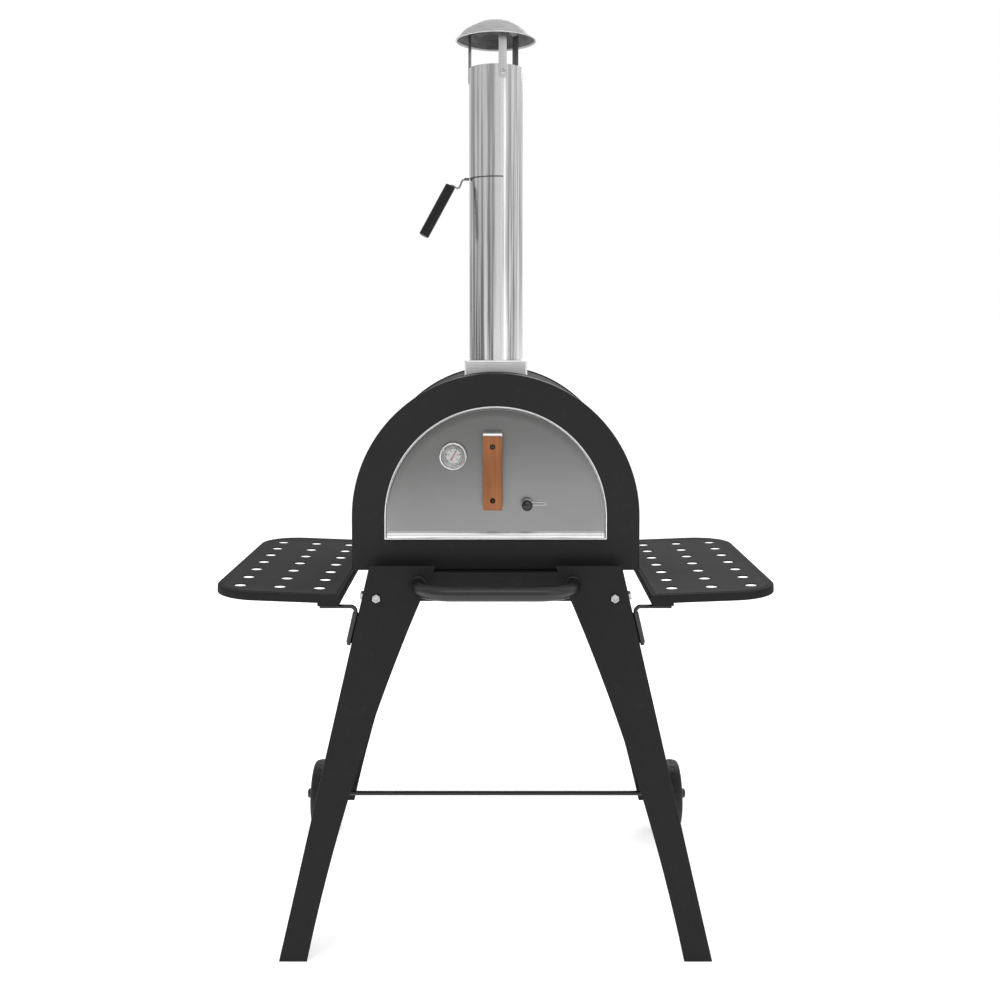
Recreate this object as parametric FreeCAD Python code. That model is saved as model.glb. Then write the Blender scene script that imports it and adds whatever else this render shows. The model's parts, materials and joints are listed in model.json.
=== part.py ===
import FreeCAD, Part
import math
import os
from FreeCAD import Vector

# Wood fired pizza oven on a wheeled stand. Millimetres, +Z up, the mouth faces -Y.
# Shapes are drawn with y measured back from the front panel's face, and save() shifts them so
# that the origin is on the floor under the middle of the whole oven.

# oven body
sheet = 1.5
panel_sheet = 2.0
arch_z = 744.0
body_radius = 250.0
body_bottom = 651.0
body_depth = 412.0
panel_return = 24.0
mouth_radius = 193.0
mouth_bottom = 705.0
liner_radius = 202.0
liner_bottom = 676.0
liner_depth = 386.0
wall_gap = 0.3
body_bolt_x = 180.0
body_bolt_y = (45.0, 367.0)

# hearth
stone_top = 707.0
stone_thick = 12.0
hearth_half = 178.0
hearth_front = 14.0
hearth_back = 382.0
ledge_width = 32.0
grate_front = 294.0
grate_back = 380.0
grate_slots = 21
ash_tray_half = 160.0

# trim round the mouth
trim_front = -1.5
trim_back = 8.3
trim_band = 2.5

# door
door_radius = 188.8
door_bottom = 708.0
door_face = -5.0
door_back = 6.0
door_skin = 1.2
lip_height = 11.0
lip_reach = 6.0
grip_x = -5.0
grip_z = 826.5
grip_width = 33.0
grip_height = 125.0
grip_back = -40.0
grip_thick = 14.0
grip_screw_z = (grip_z + 45, grip_z - 46)
strap_sheet = 2.0
gauge_x = -73.0
gauge_z = 851.5
gauge_radius = 24.0
gauge_front = -17.5
gauge_seat = -7.0
probe_radius = 3.0
probe_end = 55.0
needle_turn = 30.0
vent_x = 54.0
vent_z = 768.0
vent_travel = 30.0
vent_pitch = 18.0
vent_bore = 5.0
knob_y = -25.0
knob_radius = 9.5

# chimney
flue_y = 182.0
pipe_radius = 50.0
pipe_bottom = 1001.0
pipe_top = 1553.0
collar_radius = 48.0
collar_bottom = 938.0
collar_top = 1075.0
base_half = 57.5
base_foot = 940.0
base_top = 1013.0
cap_radius = 88.0
cap_apex = 1645.0
cap_rim = 74.0
strap_angles = (14.0, 134.0, 254.0)
strap_width = 15.0
strap_foot = 1527.0
strap_shoulder = 1625.6
strap_tip = 1635.0
strap_tip_out = 36.0
strap_screw_z = 1538.0
damper_z = 1349.0
damper_turn = 285.0
damper_sheet = 1.2
damper_disc = 48.4
wire_radius = 1.75
wire_dip = (71.3, 1328.8)
grip_head = (87.0, 1334.0)
grip_tail = (137.7, 1241.5)
damper_grip_radius = 9.5

# stand
stand_top = 667.0
stand_half = 215.4
stand_front = -40.0
stand_middle = 206.0
side_slope = 0.2273
front_slope = 0.0594
leg_sheet = 2.0
leg_inner_top = 102.0
leg_inner_bend = (248.1, 342.3)
leg_inner_foot = 320.0
rear_leg_bottom = 44.0
tray_skirt = 607.0
tray_lip = 4.5
bracket_sheet = 2.5
bracket_foot = 585.0
bolt_z = 612.0
front_bolt_x = 203.0
side_bolt_y = -20.0
bolt_radius = 4.0
bolt_flats = 13.0
bolt_head = 5.3
nut_height = 6.5
bar_radius = 12.0
bar_z = 636.0
bar_end_x = 132.0
bar_front = -117.0
bar_bend = 62.0

# wheels
axle_y = 462.0
wheel_radius = 70.0
axle_radius = 5.0
wheel_inner = 360.0
wheel_outer = 393.0
cap_end = 407.0
axle_cap_radius = 10.0
spacer_radius = 9.0
spacer_start = 354.5
bush_radius = 8.0
web_depth = 10.0
wheel_ribs = 6

# side shelves
shelf_inner = 262.0
shelf_width = 223.0
shelf_front = -62.0
shelf_length = 518.0
shelf_corner = 78.0
shelf_depth = 14.0
shelf_sheet = 2.0
shelf_top = 621.0
shelf_tilt = 2.2
shelf_hole = 10.5
hole_columns = (305.0, 373.5, 442.0)
hole_rows = 7
hole_start = -8.0
hole_pitch = 66.9
bead_start = 7.0
bead_end = 11.0
rod_radius = 3.5
channel_length = 40.0
channel_half = 14.0
sleeve_radius = 5.0
rod_y = -39.0
rod_z = 597.4
sleeve_top = 587.0
sleeve_bottom = 535.5

# the whole reaches from the front of the handle bar to the back of the wheels
front_reach = bar_front - bar_radius
back_reach = axle_y + wheel_radius
middle_y = (front_reach + back_reach) / 2

os.makedirs("parts", exist_ok=True)


def save(name, shapes):
    if not isinstance(shapes, list):
        shapes = [shapes]
    whole = shapes[0] if len(shapes) == 1 else Part.makeCompound(shapes)
    whole = whole.copy()
    whole.translate(Vector(0, -middle_y, 0))
    valid = all(shape.isValid() for shape in shapes)
    print(name, "solids", len(whole.Solids), "valid", valid, "volume", round(whole.Volume))
    whole.exportStep("parts/" + name + ".step")


def cut(shape, *tools):
    for tool in tools:
        shape = shape.cut(tool)
    return shape


def box(low, high):
    size = [b - a for a, b in zip(low, high)]
    return Part.makeBox(size[0], size[1], size[2], Vector(*low))


def cylinder(radius, start, end):
    start = Vector(*start)
    reach = Vector(*end) - start
    return Part.makeCylinder(radius, reach.Length, start, reach)


def hexagon(flats, start, end):
    # a hexagonal prism from start to end
    start = Vector(*start)
    reach = Vector(*end) - start
    corner = flats / math.sqrt(3)
    turns = [math.radians(60 * k) for k in range(7)]
    ring = [Vector(corner * math.cos(t), corner * math.sin(t), 0) for t in turns]
    prism = Part.Face(Part.makePolygon(ring)).extrude(Vector(0, 0, reach.Length))
    prism.Placement = FreeCAD.Placement(start, FreeCAD.Rotation(Vector(0, 0, 1), reach))
    return prism


def flat(points, reach):
    # a plate whose outline is straight between points, extruded by reach
    corners = [Vector(*p) for p in points]
    return Part.Face(Part.makePolygon(corners + corners[:1])).extrude(Vector(*reach))


def turned(profile, centre, axis):
    # a full turn of a profile about an axis through centre
    return Part.Face(profile).revolve(Vector(*centre), Vector(*axis), 360)


def bent_rod(points, radius, bend):
    # a round rod along straight runs, with an arc of radius bend at each inner point
    points = [Vector(*p) for p in points]
    path = []
    here = points[0]
    for before, corner, after in zip(points, points[1:], points[2:]):
        into = (corner - before).normalize()
        out = (after - corner).normalize()
        turn = into.getAngle(out)
        back = bend * math.tan(turn / 2)
        start = corner - into * back
        end = corner + out * back
        inward = (out - into).normalize()
        middle = corner + inward * (bend / math.cos(turn / 2) - bend)
        path.append(Part.LineSegment(here, start).toShape())
        path.append(Part.Arc(start, middle, end).toShape())
        here = end
    path.append(Part.LineSegment(here, points[-1]).toShape())
    section = Part.Wire(Part.Circle(points[0], points[1] - points[0], radius).toShape())
    return Part.Wire(path).makePipeShell([section], True, False)


def mirror_x(shape):
    return shape.mirror(Vector(0, 0, 0), Vector(1, 0, 0))


def mirror_ends(shape):
    return shape.mirror(Vector(0, stand_middle, 0), Vector(0, 1, 0))


def four_corners(shape):
    rear = mirror_ends(shape)
    return [shape, mirror_x(shape), rear, mirror_x(rear)]


# oven body -----------------------------------------------------------------------------------

def arch(radius, bottom, near, far):
    # the oven's outline: a half round on straight sides, closed along the bottom
    left = Vector(-radius, near, arch_z)
    right = Vector(radius, near, arch_z)
    crown = Vector(0, near, arch_z + radius)
    foot_left = Vector(-radius, near, bottom)
    foot_right = Vector(radius, near, bottom)
    edges = [
        Part.LineSegment(foot_left, left).toShape(),
        Part.Arc(left, crown, right).toShape(),
        Part.LineSegment(right, foot_right).toShape(),
        Part.LineSegment(foot_right, foot_left).toShape(),
    ]
    return Part.Face(Part.Wire(edges)).extrude(Vector(0, far - near, 0))


def edges_at_y(shape, y):
    # the edges that lie wholly in the plane at y
    found = []
    for edge in shape.Edges:
        span = edge.BoundBox
        if abs(span.YMin - y) < 0.01 and abs(span.YMax - y) < 0.01:
            found.append(edge)
    return found


def end_panel():
    # a pan with a turned edge, the same for the front and the back of the body
    block = arch(body_radius, body_bottom, 0, panel_return)
    block = block.makeFillet(3.0, edges_at_y(block, 0))
    hollow = arch(body_radius - panel_sheet, body_bottom + panel_sheet, panel_sheet, panel_return)
    return cut(block, hollow)


def flue_hole(radius):
    return cylinder(radius, (0, flue_y, arch_z), (0, flue_y, base_top - 5))


def oven_body():
    front = cut(end_panel(), arch(mouth_radius + 0.1, mouth_bottom - 0.1, -1, panel_sheet + 1))
    save("front_panel", front)
    half = Vector(0, body_depth / 2, 0)
    save("rear_panel", end_panel().mirror(half, Vector(0, 1, 0)))
    near = panel_sheet + 0.1
    far = body_depth - near
    outer = body_radius - panel_sheet - wall_gap
    floor = body_bottom + panel_sheet + wall_gap
    shell = cut(arch(outer, floor, near, far), arch(outer - sheet, floor - 1, near, far))
    save("outer_shell", cut(shell, flue_hole(53)))
    pan = box((-outer + sheet + 0.2, near, floor), (outer - sheet - 0.2, far, floor + sheet))
    save("bottom_pan", cut(pan, *[body_bolt(x, y, wall_gap) for x, y in body_bolt_places]))
    wool = cut(
        arch(outer - sheet - 0.4, floor + sheet + wall_gap, near + 2, far - 4),
        arch(liner_radius + wall_gap, liner_bottom - wall_gap, 0, liner_depth + 2),
        flue_hole(52),
    )
    save("body_insulation", wool)
    liner = cut(
        arch(liner_radius, liner_bottom, near, liner_depth),
        arch(liner_radius - sheet, liner_bottom + sheet, near, liner_depth - sheet),
        flue_hole(collar_radius + wall_gap),
    )
    save("chamber_liner", liner)
    bolts = [body_bolt(x, y, 0).fuse(body_bolt_head(x, y)) for x, y in body_bolt_places]
    save("body_bolts", bolts)


body_bolt_places = [(x, y) for x in (-body_bolt_x, body_bolt_x) for y in body_bolt_y]


def body_bolt(x, y, play):
    # the shank that holds the oven down on the tray
    top = body_bottom + panel_sheet + sheet + 0.4
    return cylinder(3 + play, (x, y, body_bottom - 2 * panel_sheet), (x, y, top + play))


def body_bolt_head(x, y):
    seat = body_bottom - leg_sheet
    return hexagon(10, (x, y, seat - 4), (x, y, seat))


def hearth():
    wall = liner_radius - sheet
    under = stone_top - stone_thick
    edge = wall - 0.1
    seat = box((wall - ledge_width, hearth_front, under - sheet), (edge, hearth_back, under))
    upright = box((edge - sheet, hearth_front, under - 13), (edge, hearth_back, under - sheet))
    ledge = seat.fuse(upright)
    save("hearth_ledges", [mirror_x(ledge), ledge])

    stone = box((-hearth_half, hearth_front, under), (hearth_half, grate_front - 4, stone_top))
    save("pizza_stone", stone.makeChamfer(1.5, stone.Edges))

    grate = box((-hearth_half, grate_front, under), (hearth_half, grate_back, stone_top - 4))
    start = 6 - hearth_half
    pitch = 2 * (hearth_half - 6) / grate_slots
    slots = []
    for k in range(grate_slots):
        left = start + pitch * k + 5
        right = start + pitch * (k + 1)
        slots.append(box((left, grate_front + 8, under - 1), (right, grate_back - 8, stone_top)))
    save("fire_grate", cut(grate, *slots))

    tray_floor = liner_bottom + sheet + 0.2
    near = hearth_front
    far = grate_back - 2
    tray = box((-ash_tray_half, near, tray_floor), (ash_tray_half, far, under - 3))
    inside = box((1 - ash_tray_half, near + 1, tray_floor + 1), (ash_tray_half - 1, far - 1, stone_top))
    save("ash_tray", tray.cut(inside))


def door_trim():
    outer = mouth_radius - 0.1
    foot = mouth_bottom + 0.1
    face_band = outer - trim_band
    back_band = outer - 10
    ring = cut(
        arch(outer, foot, trim_front, trim_back),
        arch(face_band, foot + trim_band, trim_front - 1, trim_back - 2),
        arch(back_band, foot + 10, trim_front - 1, trim_back + 1),
    )
    save("door_trim", ring)


# door ----------------------------------------------------------------------------------------

vent_holes = [vent_x + vent_pitch * k for k in (-1, 0, 1)]


def gauge_bore(radius):
    return cylinder(radius, (gauge_x, -30, gauge_z), (gauge_x, 30, gauge_z))


def strap_arm_z():
    # the heights of the handle strap's two arms
    return grip_z + grip_height / 2 + 5, grip_z - grip_height / 2 - 3


def vent_slot():
    low = (vent_x - 2.6, door_face - 9, vent_z - 2.4)
    high = (vent_x + vent_travel + 2.6, door_face + 3, vent_z + 2.4)
    return box(low, high)


def door():
    skin = door_skin
    pan = arch(door_radius, door_bottom, door_face, door_back)
    pan = pan.makeFillet(2.5, edges_at_y(pan, door_face))
    lip_top = door_bottom + lip_height
    lip_face = door_face - lip_reach
    lip = flat(
        [
            (-door_radius, door_face + 2, lip_top),
            (-door_radius, door_face, lip_top),
            (-door_radius, lip_face, door_bottom + 3),
            (-door_radius, lip_face, door_bottom),
            (-door_radius, door_face + 2, door_bottom),
        ],
        (2 * door_radius, 0, 0),
    )
    inside = arch(door_radius - skin, door_bottom + skin, door_face + skin, door_back)
    outer_skin = cut(pan.fuse(lip), inside, gauge_bore(probe_radius + 0.4), vent_slot()).removeSplitter()
    save("door_panel", outer_skin)

    inner_skin = cut(
        arch(door_radius - skin - wall_gap, door_bottom + skin + wall_gap, door_back - sheet, door_back),
        gauge_bore(probe_radius + 0.4),
        *[cylinder(vent_bore, (x, -5, vent_z), (x, 9, vent_z)) for x in vent_holes],
    )
    save("door_inner_skin", inner_skin)

    upper, lower = strap_arm_z()
    left = grip_x - grip_width / 2
    right = grip_x + grip_width / 2
    strap = box((left, grip_back, lower), (right, door_face, upper))
    corners = [e for e in strap.Edges if abs(e.BoundBox.YMax - grip_back) < 0.01 and e.BoundBox.XLength > 1]
    strap = strap.makeFillet(4, corners)
    gauge = strap_sheet
    hollow = box((left - 1, grip_back + gauge, lower + gauge), (right + 1, door_face + 1, upper - gauge))
    hollow_corners = [e for e in hollow.Edges if e.BoundBox.YMax < grip_back + 3 and e.BoundBox.XLength > 1]
    hollow = hollow.makeFillet(2, hollow_corners)
    holes = [cylinder(2.2, (grip_x, -70, z), (grip_x, -30, z)) for z in grip_screw_z]
    save("handle_strap", cut(strap, hollow, *holes))

    face = grip_back - grip_thick
    wood = box((left, face, grip_z - grip_height / 2), (right, grip_back, grip_z + grip_height / 2))
    wood = wood.makeFillet(2.0, edges_at_y(wood, face))
    seats = [cylinder(4.6, (grip_x, face - 1, z), (grip_x, face + 3, z)) for z in grip_screw_z]
    save("handle_grip", cut(wood, *holes, *seats))
    screws = []
    for z in grip_screw_z:
        head = cylinder(4.2, (grip_x, face + 0.6, z), (grip_x, face + 3, z))
        socket = hexagon(3, (grip_x, face + 0.4, z), (grip_x, face + 2, z))
        shank = cylinder(2.0, (grip_x, face + 3, z), (grip_x, grip_back + 5, z))
        screws.append(head.cut(socket).fuse(shank))
    save("handle_screws", screws)


def thermometer():
    centre = (gauge_x, 0, gauge_z)
    axis = (0, 1, 0)

    def ring_profile(points):
        corners = [Vector(gauge_x + r, y, gauge_z) for r, y in points]
        return Part.makePolygon(corners + corners[:1])

    front = gauge_front
    seat = gauge_seat
    bore = probe_radius + 0.05
    wide = gauge_radius
    glass_radius = 20.8
    case = ring_profile([
        (bore, seat), (bore, door_face - 0.2), (wide - 1.5, door_face - 0.2), (wide, seat),
        (wide, front + 1.5), (wide - 1.5, front), (20.0, front), (19.2, front + 1.3),
        (21.0, front + 1.3), (21.0, seat),
    ])
    save("thermometer_case", turned(case, centre, axis))
    dial = cylinder(glass_radius, (gauge_x, seat - 1, gauge_z), (gauge_x, seat - 0.1, gauge_z))
    save("thermometer_dial", dial.cut(gauge_bore(1.4)))
    glass = cylinder(glass_radius, (gauge_x, front + 1.5, gauge_z), (gauge_x, front + 3, gauge_z))
    save("thermometer_glass", glass)
    inside = probe_radius - 0.9
    probe = ring_profile([
        (inside, seat + 0.1), (inside, probe_end - 5), (0, probe_end - 4), (0, probe_end),
        (1.5, probe_end), (probe_radius, probe_end - 3), (probe_radius, seat + 0.1),
    ])
    save("thermometer_probe", turned(probe, centre, axis))
    nut = hexagon(bolt_flats, (gauge_x, door_back + 0.1, gauge_z), (gauge_x, door_back + 5, gauge_z))
    save("thermometer_nut", nut.cut(gauge_bore(probe_radius + 0.1)))
    hub = cylinder(2.4, (gauge_x, -12.6, gauge_z), (gauge_x, -9.4, gauge_z))
    spindle = cylinder(0.9, (gauge_x, -9.4, gauge_z), (gauge_x, 12, gauge_z))
    pointer = flat(
        [(-1.0, -11.4, -7), (-0.9, -11.4, 3), (0, -11.4, 15.5), (0.9, -11.4, 3), (1.0, -11.4, -7)],
        (0, 0.6, 0),
    )
    pointer.rotate(Vector(0, 0, 0), Vector(0, 1, 0), needle_turn)
    pointer.translate(Vector(gauge_x, 0, gauge_z))
    save("thermometer_needle", hub.fuse(spindle).fuse(pointer))


def vent():
    inner_holes = [x - vent_travel for x in (vent_holes[2], vent_holes[2] + vent_pitch)]
    plate = box((vent_x - 30, 3.1, vent_z - 12), (vent_x + 42, 4.1, vent_z + 12))
    ports = [cylinder(vent_bore, (x, 0, vent_z), (x, 9, vent_z)) for x in inner_holes]
    save("vent_slider", cut(plate, *ports))
    neck_end = knob_y + 7.5
    stem = cylinder(2.0, (vent_x, 3.1, vent_z), (vent_x, neck_end - 0.5, vent_z))
    collar = cylinder(5.0, (vent_x, door_face - 2, vent_z), (vent_x, door_face - 0.4, vent_z))
    save("vent_stem", stem.fuse(collar))
    ball = Part.makeSphere(knob_radius, Vector(vent_x, knob_y, vent_z))
    neck = cylinder(4.0, (vent_x, neck_end, vent_z), (vent_x, knob_y + 12, vent_z))
    socket = cylinder(2.05, (vent_x, 0, vent_z), (vent_x, neck_end - 0.5, vent_z))
    save("vent_knob", cut(ball.fuse(neck), socket))


# chimney -------------------------------------------------------------------------------------

def around_flue(shape, degrees):
    # turn a shape drawn towards -Y about the chimney's axis
    shape = shape.copy()
    shape.rotate(Vector(0, flue_y, 0), Vector(0, 0, 1), degrees)
    return shape


def strap_hole(angle):
    hole = cylinder(2.6, (0, flue_y - 40, strap_screw_z), (0, flue_y - 60, strap_screw_z))
    return around_flue(hole, angle)


def damper_slit():
    # the slit runs half way round the pipe, on the side that the plate leaves by
    slit = box((-80, flue_y - 80, damper_z - 1.2), (80, flue_y + 0.8, damper_z + 1.2))
    return around_flue(slit, damper_turn)


def chimney_foot():
    foot = box((-base_half, flue_y - base_half, base_foot), (base_half, flue_y + base_half, base_top))
    upright = [e for e in foot.Edges if e.BoundBox.ZLength > 1]
    foot = foot.makeFillet(4, upright)
    rim = [e for e in foot.Edges if e.BoundBox.ZMin > base_top - 0.01]
    foot = foot.makeFillet(3, rim)
    inner = base_half - sheet
    hollow = box(
        (-inner, flue_y - inner, base_foot - 10),
        (inner, flue_y + inner, base_top - sheet),
    )
    barrel = arch(body_radius - panel_sheet, body_bottom, -5, body_depth)
    flue = cylinder(pipe_radius + wall_gap, (0, flue_y, base_foot), (0, flue_y, base_top + 10))
    save("chimney_base", cut(foot, hollow, barrel, flue))


def chimney_pipe():
    collar = cut(
        cylinder(collar_radius, (0, flue_y, collar_bottom), (0, flue_y, collar_top)),
        cylinder(collar_radius - 1.2, (0, flue_y, collar_bottom - 5), (0, flue_y, collar_top + 5)),
    )
    save("flue_collar", collar)
    pipe = cut(
        cylinder(pipe_radius, (0, flue_y, pipe_bottom), (0, flue_y, pipe_top)),
        cylinder(pipe_radius - 1, (0, flue_y, pipe_bottom - 1), (0, flue_y, pipe_top + 1)),
        damper_slit(),
        *[strap_hole(angle) for angle in strap_angles],
    )
    save("chimney_pipe", pipe)


def cap_straps():
    # flat straps up the outside of the pipe, each with a tab that leans in under the cap
    half = strap_width / 2
    near = flue_y - pipe_radius - 0.1
    outer = near - sheet
    tip = flue_y - strap_tip_out
    straps = []
    screws = []
    for angle in strap_angles:
        upright = box((-half, outer, strap_foot), (half, near, strap_shoulder - 0.1))
        tab = flat(
            [
                (-half, outer, strap_shoulder - sheet),
                (-half, outer, strap_shoulder),
                (-half, tip, strap_tip),
                (-half, tip, strap_tip - sheet),
            ],
            (strap_width, 0, 0),
        )
        hole = cylinder(2.6, (0, flue_y, strap_screw_z), (0, flue_y - 70, strap_screw_z))
        straps.append(around_flue(upright.fuse(tab).cut(hole), angle))
        ball = Part.makeSphere(5, Vector(0, outer + 2.4, strap_screw_z))
        head = ball.common(box((-6, outer - 3, strap_screw_z - 8), (6, outer, strap_screw_z + 8)))
        shank = cylinder(2.5, (0, outer, strap_screw_z), (0, flue_y - 44, strap_screw_z))
        screws.append(around_flue(head.fuse(shank), angle))
    save("cap_straps", straps)
    save("cap_screws", screws)


def rain_cap():
    thin = 1.2
    bead_radius = 1.5
    sphere_z = cap_apex - cap_radius
    centre = Vector(0, flue_y, sphere_z)
    dome = Part.makeSphere(cap_radius, centre).cut(Part.makeSphere(cap_radius - thin, centre))
    rim_z = sphere_z + math.sqrt(cap_radius ** 2 - cap_rim ** 2)
    reach = cap_radius + 12
    dome = dome.common(box((-reach, flue_y - reach, rim_z), (reach, flue_y + reach, cap_apex + 10)))
    bead = Part.makeTorus(cap_rim - 0.4, bead_radius, Vector(0, flue_y, rim_z), Vector(0, 0, 1))
    save("rain_cap", dome.fuse(bead))


def damper_point(out, z):
    # a point at a distance out from the flue's axis in the damper's plane of movement
    turn = math.radians(damper_turn)
    return (math.sin(turn) * out, flue_y - math.cos(turn) * out, z)


def damper():
    low = damper_z - damper_sheet / 2
    high = damper_z + damper_sheet / 2
    disc = cylinder(damper_disc, (0, flue_y, low), (0, flue_y, high))
    tab = around_flue(box((-6, flue_y - 60, low), (6, flue_y, high)), damper_turn)
    save("damper_plate", disc.fuse(tab))

    head = Vector(grip_head[0], 0, grip_head[1])
    tail = Vector(grip_tail[0], 0, grip_tail[1])
    down = (tail - head).normalize()
    over = head - down * 3
    inside = head + down * 18
    wire_z = low - wire_radius
    ends = [(52.5, wire_z), (64, wire_z), wire_dip, (over.x, over.z), (inside.x, inside.z)]
    save("damper_wire", bent_rod([damper_point(*end) for end in ends], wire_radius, 3))

    grip = cylinder(damper_grip_radius, damper_point(head.x, head.z), damper_point(tail.x, tail.z))
    grip = grip.makeFillet(1.5, [e for e in grip.Edges if e.Length < 62])
    socket = cylinder(wire_radius, damper_point(over.x, over.z), damper_point(inside.x, inside.z))
    save("damper_grip", grip.cut(socket))


# stand ---------------------------------------------------------------------------------------

side_stretch = math.sqrt(1 + side_slope ** 2)
front_stretch = math.sqrt(1 + front_slope ** 2)
side_normal = Vector(1, 0, side_slope).normalize()
front_normal = Vector(0, -1, front_slope).normalize()


def side_x(z, inset=0.0):
    # the stand's sloping side, and planes at a depth inside it
    return stand_half + side_slope * (stand_top - z) - inset * side_stretch


def front_y(z, inset=0.0):
    return stand_front - front_slope * (stand_top - z) + inset * front_stretch


def stand_block(inset, low, high):
    # the space inside the four sloping planes of the stand, between two heights
    loops = []
    for z in (low, high):
        x = side_x(z, inset)
        near = front_y(z, inset)
        far = 2 * stand_middle - near
        corners = [(-x, near), (x, near), (x, far), (-x, far), (-x, near)]
        loops.append(Part.makePolygon([Vector(a, b, z) for a, b in corners]))
    return Part.makeLoft(loops, True, True)


def front_bolt_line(inset):
    # a point on the front bolt's axis, at a depth in from the leg's outer face
    start = Vector(front_bolt_x, front_y(bolt_z), bolt_z)
    return start - front_normal * inset


def side_bolt_line(inset):
    start = Vector(side_x(bolt_z), side_bolt_y, bolt_z)
    return start - side_normal * inset


def bolt_bores():
    bores = []
    for line in (front_bolt_line, side_bolt_line):
        bores.append(cylinder(bolt_radius + wall_gap, line(-4), line(12)))
    return bores


def leg_plate(poles_low, corner, inward):
    # one face of a leg: straight along the fold, curved along the free edge
    top_corner, foot_corner = corner
    curve = Part.BezierCurve()
    curve.setPoles(poles_low)
    edges = [
        curve.toShape(),
        Part.LineSegment(poles_low[-1], foot_corner).toShape(),
        Part.LineSegment(foot_corner, top_corner).toShape(),
        Part.LineSegment(top_corner, poles_low[0]).toShape(),
    ]
    return Part.Face(Part.Wire(edges)).extrude(inward * leg_sheet)


def leg():
    # a folded L of sheet, the front right one; the others are its mirror images
    below = -3.0
    fold_top = Vector(side_x(stand_top), front_y(stand_top), stand_top)
    fold_foot = Vector(side_x(below), front_y(below), below)
    bend_x, bend_z = leg_inner_bend
    free = [(leg_inner_top, stand_top), (bend_x, bend_z), (leg_inner_foot, below)]
    front_poles = [Vector(x, front_y(z), z) for x, z in free]
    side_poles = [Vector(side_x(z), front_y(z) + side_x(z) - x, z) for x, z in free]
    fold = (fold_top, fold_foot)
    front = leg_plate(front_poles, fold, front_normal * -1)
    side = leg_plate(side_poles, fold, side_normal * -1)
    # the side face stops under the oven body
    side = side.cut(box((100, stand_front + 6, body_bottom - 0.2), (300, 200, stand_top + 20)))
    shape = front.fuse(side).removeSplitter()
    shape = shape.cut(box((0, -300, -20), (500, 300, 0)))
    folds = []
    for edge in shape.Edges:
        ends = [v.Point for v in edge.Vertexes]
        on_fold = all(
            abs(p.x - side_x(p.z)) < 0.02 and abs(p.y - front_y(p.z)) < 0.02 for p in ends)
        if on_fold and edge.Length > 100:
            folds.append(edge)
    shape = shape.makeFillet(1.9, folds)
    return cut(shape, *bolt_bores())


def stand():
    corner = leg()
    rear = mirror_ends(corner.cut(box((0, -300, -20), (500, 300, rear_leg_bottom))))
    rear = rear.cut(cylinder(axle_radius + 0.1, (0, axle_y, wheel_radius), (500, axle_y, wheel_radius)))
    save("leg_front_right", corner)
    save("leg_front_left", mirror_x(corner))
    save("leg_rear_right", rear)
    save("leg_rear_left", mirror_x(rear))

    apron = leg_sheet
    tray = stand_block(apron, tray_skirt, body_bottom)
    tray = tray.cut(stand_block(2 * apron, tray_skirt - 5, body_bottom - leg_sheet))
    # the front and back edges stand up in a low lip, clear of the oven body
    rim = stand_block(apron, body_bottom - 1, body_bottom + tray_lip)
    rim = rim.cut(stand_block(2 * apron, body_bottom - 2, body_bottom + tray_lip + 1))
    lip = rim.common(box((-300, stand_front, body_bottom - 1), (300, stand_front + 6, stand_top)))
    tray = tray.fuse(lip).fuse(mirror_ends(lip)).removeSplitter()
    bores = [b for bore in bolt_bores() for b in four_corners(bore)]
    body_bores = [body_bolt(x, y, wall_gap) for x, y in body_bolt_places]
    save("base_tray", cut(tray, *bores, *body_bores))

    ring = stand_block(2 * apron, bracket_foot, body_bottom - leg_sheet - 2)
    ring = ring.cut(stand_block(2 * apron + bracket_sheet, bracket_foot - 5, body_bottom))
    corner_space = box((150, -100, bracket_foot - 25), (300, 30, stand_top))
    bracket = cut(ring.common(corner_space), *bolt_bores())
    save("corner_brackets", four_corners(bracket))

    stack = 2 * apron + bracket_sheet
    bolts = []
    nuts = []
    for line in (front_bolt_line, side_bolt_line):
        head = hexagon(bolt_flats, line(0), line(-bolt_head))
        shank = cylinder(bolt_radius, line(0), line(stack + nut_height + 2.5))
        bolts += four_corners(head.fuse(shank))
        nut = hexagon(bolt_flats, line(stack), line(stack + nut_height))
        nuts += four_corners(nut.cut(cylinder(bolt_radius + 0.05, line(0), line(20))))
    save("leg_bolts", bolts)
    save("leg_nuts", nuts)


def handle_bar():
    seat = front_y(bar_z)
    path = [(-bar_end_x, seat, bar_z), (-bar_end_x, bar_front, bar_z)]
    path += [(-x, y, z) for x, y, z in reversed(path)]
    bar = bent_rod(path, bar_radius, bar_bend)
    low = bar_z - 36
    high = bar_z + 44
    behind = flat(
        [(-300, front_y(low), low), (-300, front_y(high), high), (-300, 100, high), (-300, 100, low)],
        (600, 0, 0),
    )
    bar = bar.cut(behind)
    bores = [cylinder(3.05, (x, seat - 16, bar_z), (x, seat + 8, bar_z)) for x in (-bar_end_x, bar_end_x)]
    save("handle_bar", cut(bar, *bores))


# wheels --------------------------------------------------------------------------------------

def on_axle(radius, start, end):
    # a cylinder on the axle's line, between two distances from the middle of the oven
    return cylinder(radius, (start, axle_y, wheel_radius), (end, axle_y, wheel_radius))


def axle_parts():
    axle = on_axle(axle_radius, 4 - cap_end, cap_end - 4)
    save("axle", axle)
    cap = on_axle(axle_cap_radius, wheel_outer + 1.5, cap_end)
    cap = cap.makeFillet(2.5, [e for e in cap.Edges if abs(e.BoundBox.XMin - cap_end) < 0.01])
    cap = cap.cut(axle)
    save("axle_caps", [cap, mirror_x(cap)])
    tube = on_axle(spacer_radius, spacer_start, wheel_inner - 0.5)
    tube = tube.cut(on_axle(axle_radius + 0.05, 0, cap_end))
    save("axle_spacers", [tube, mirror_x(tube)])


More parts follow.
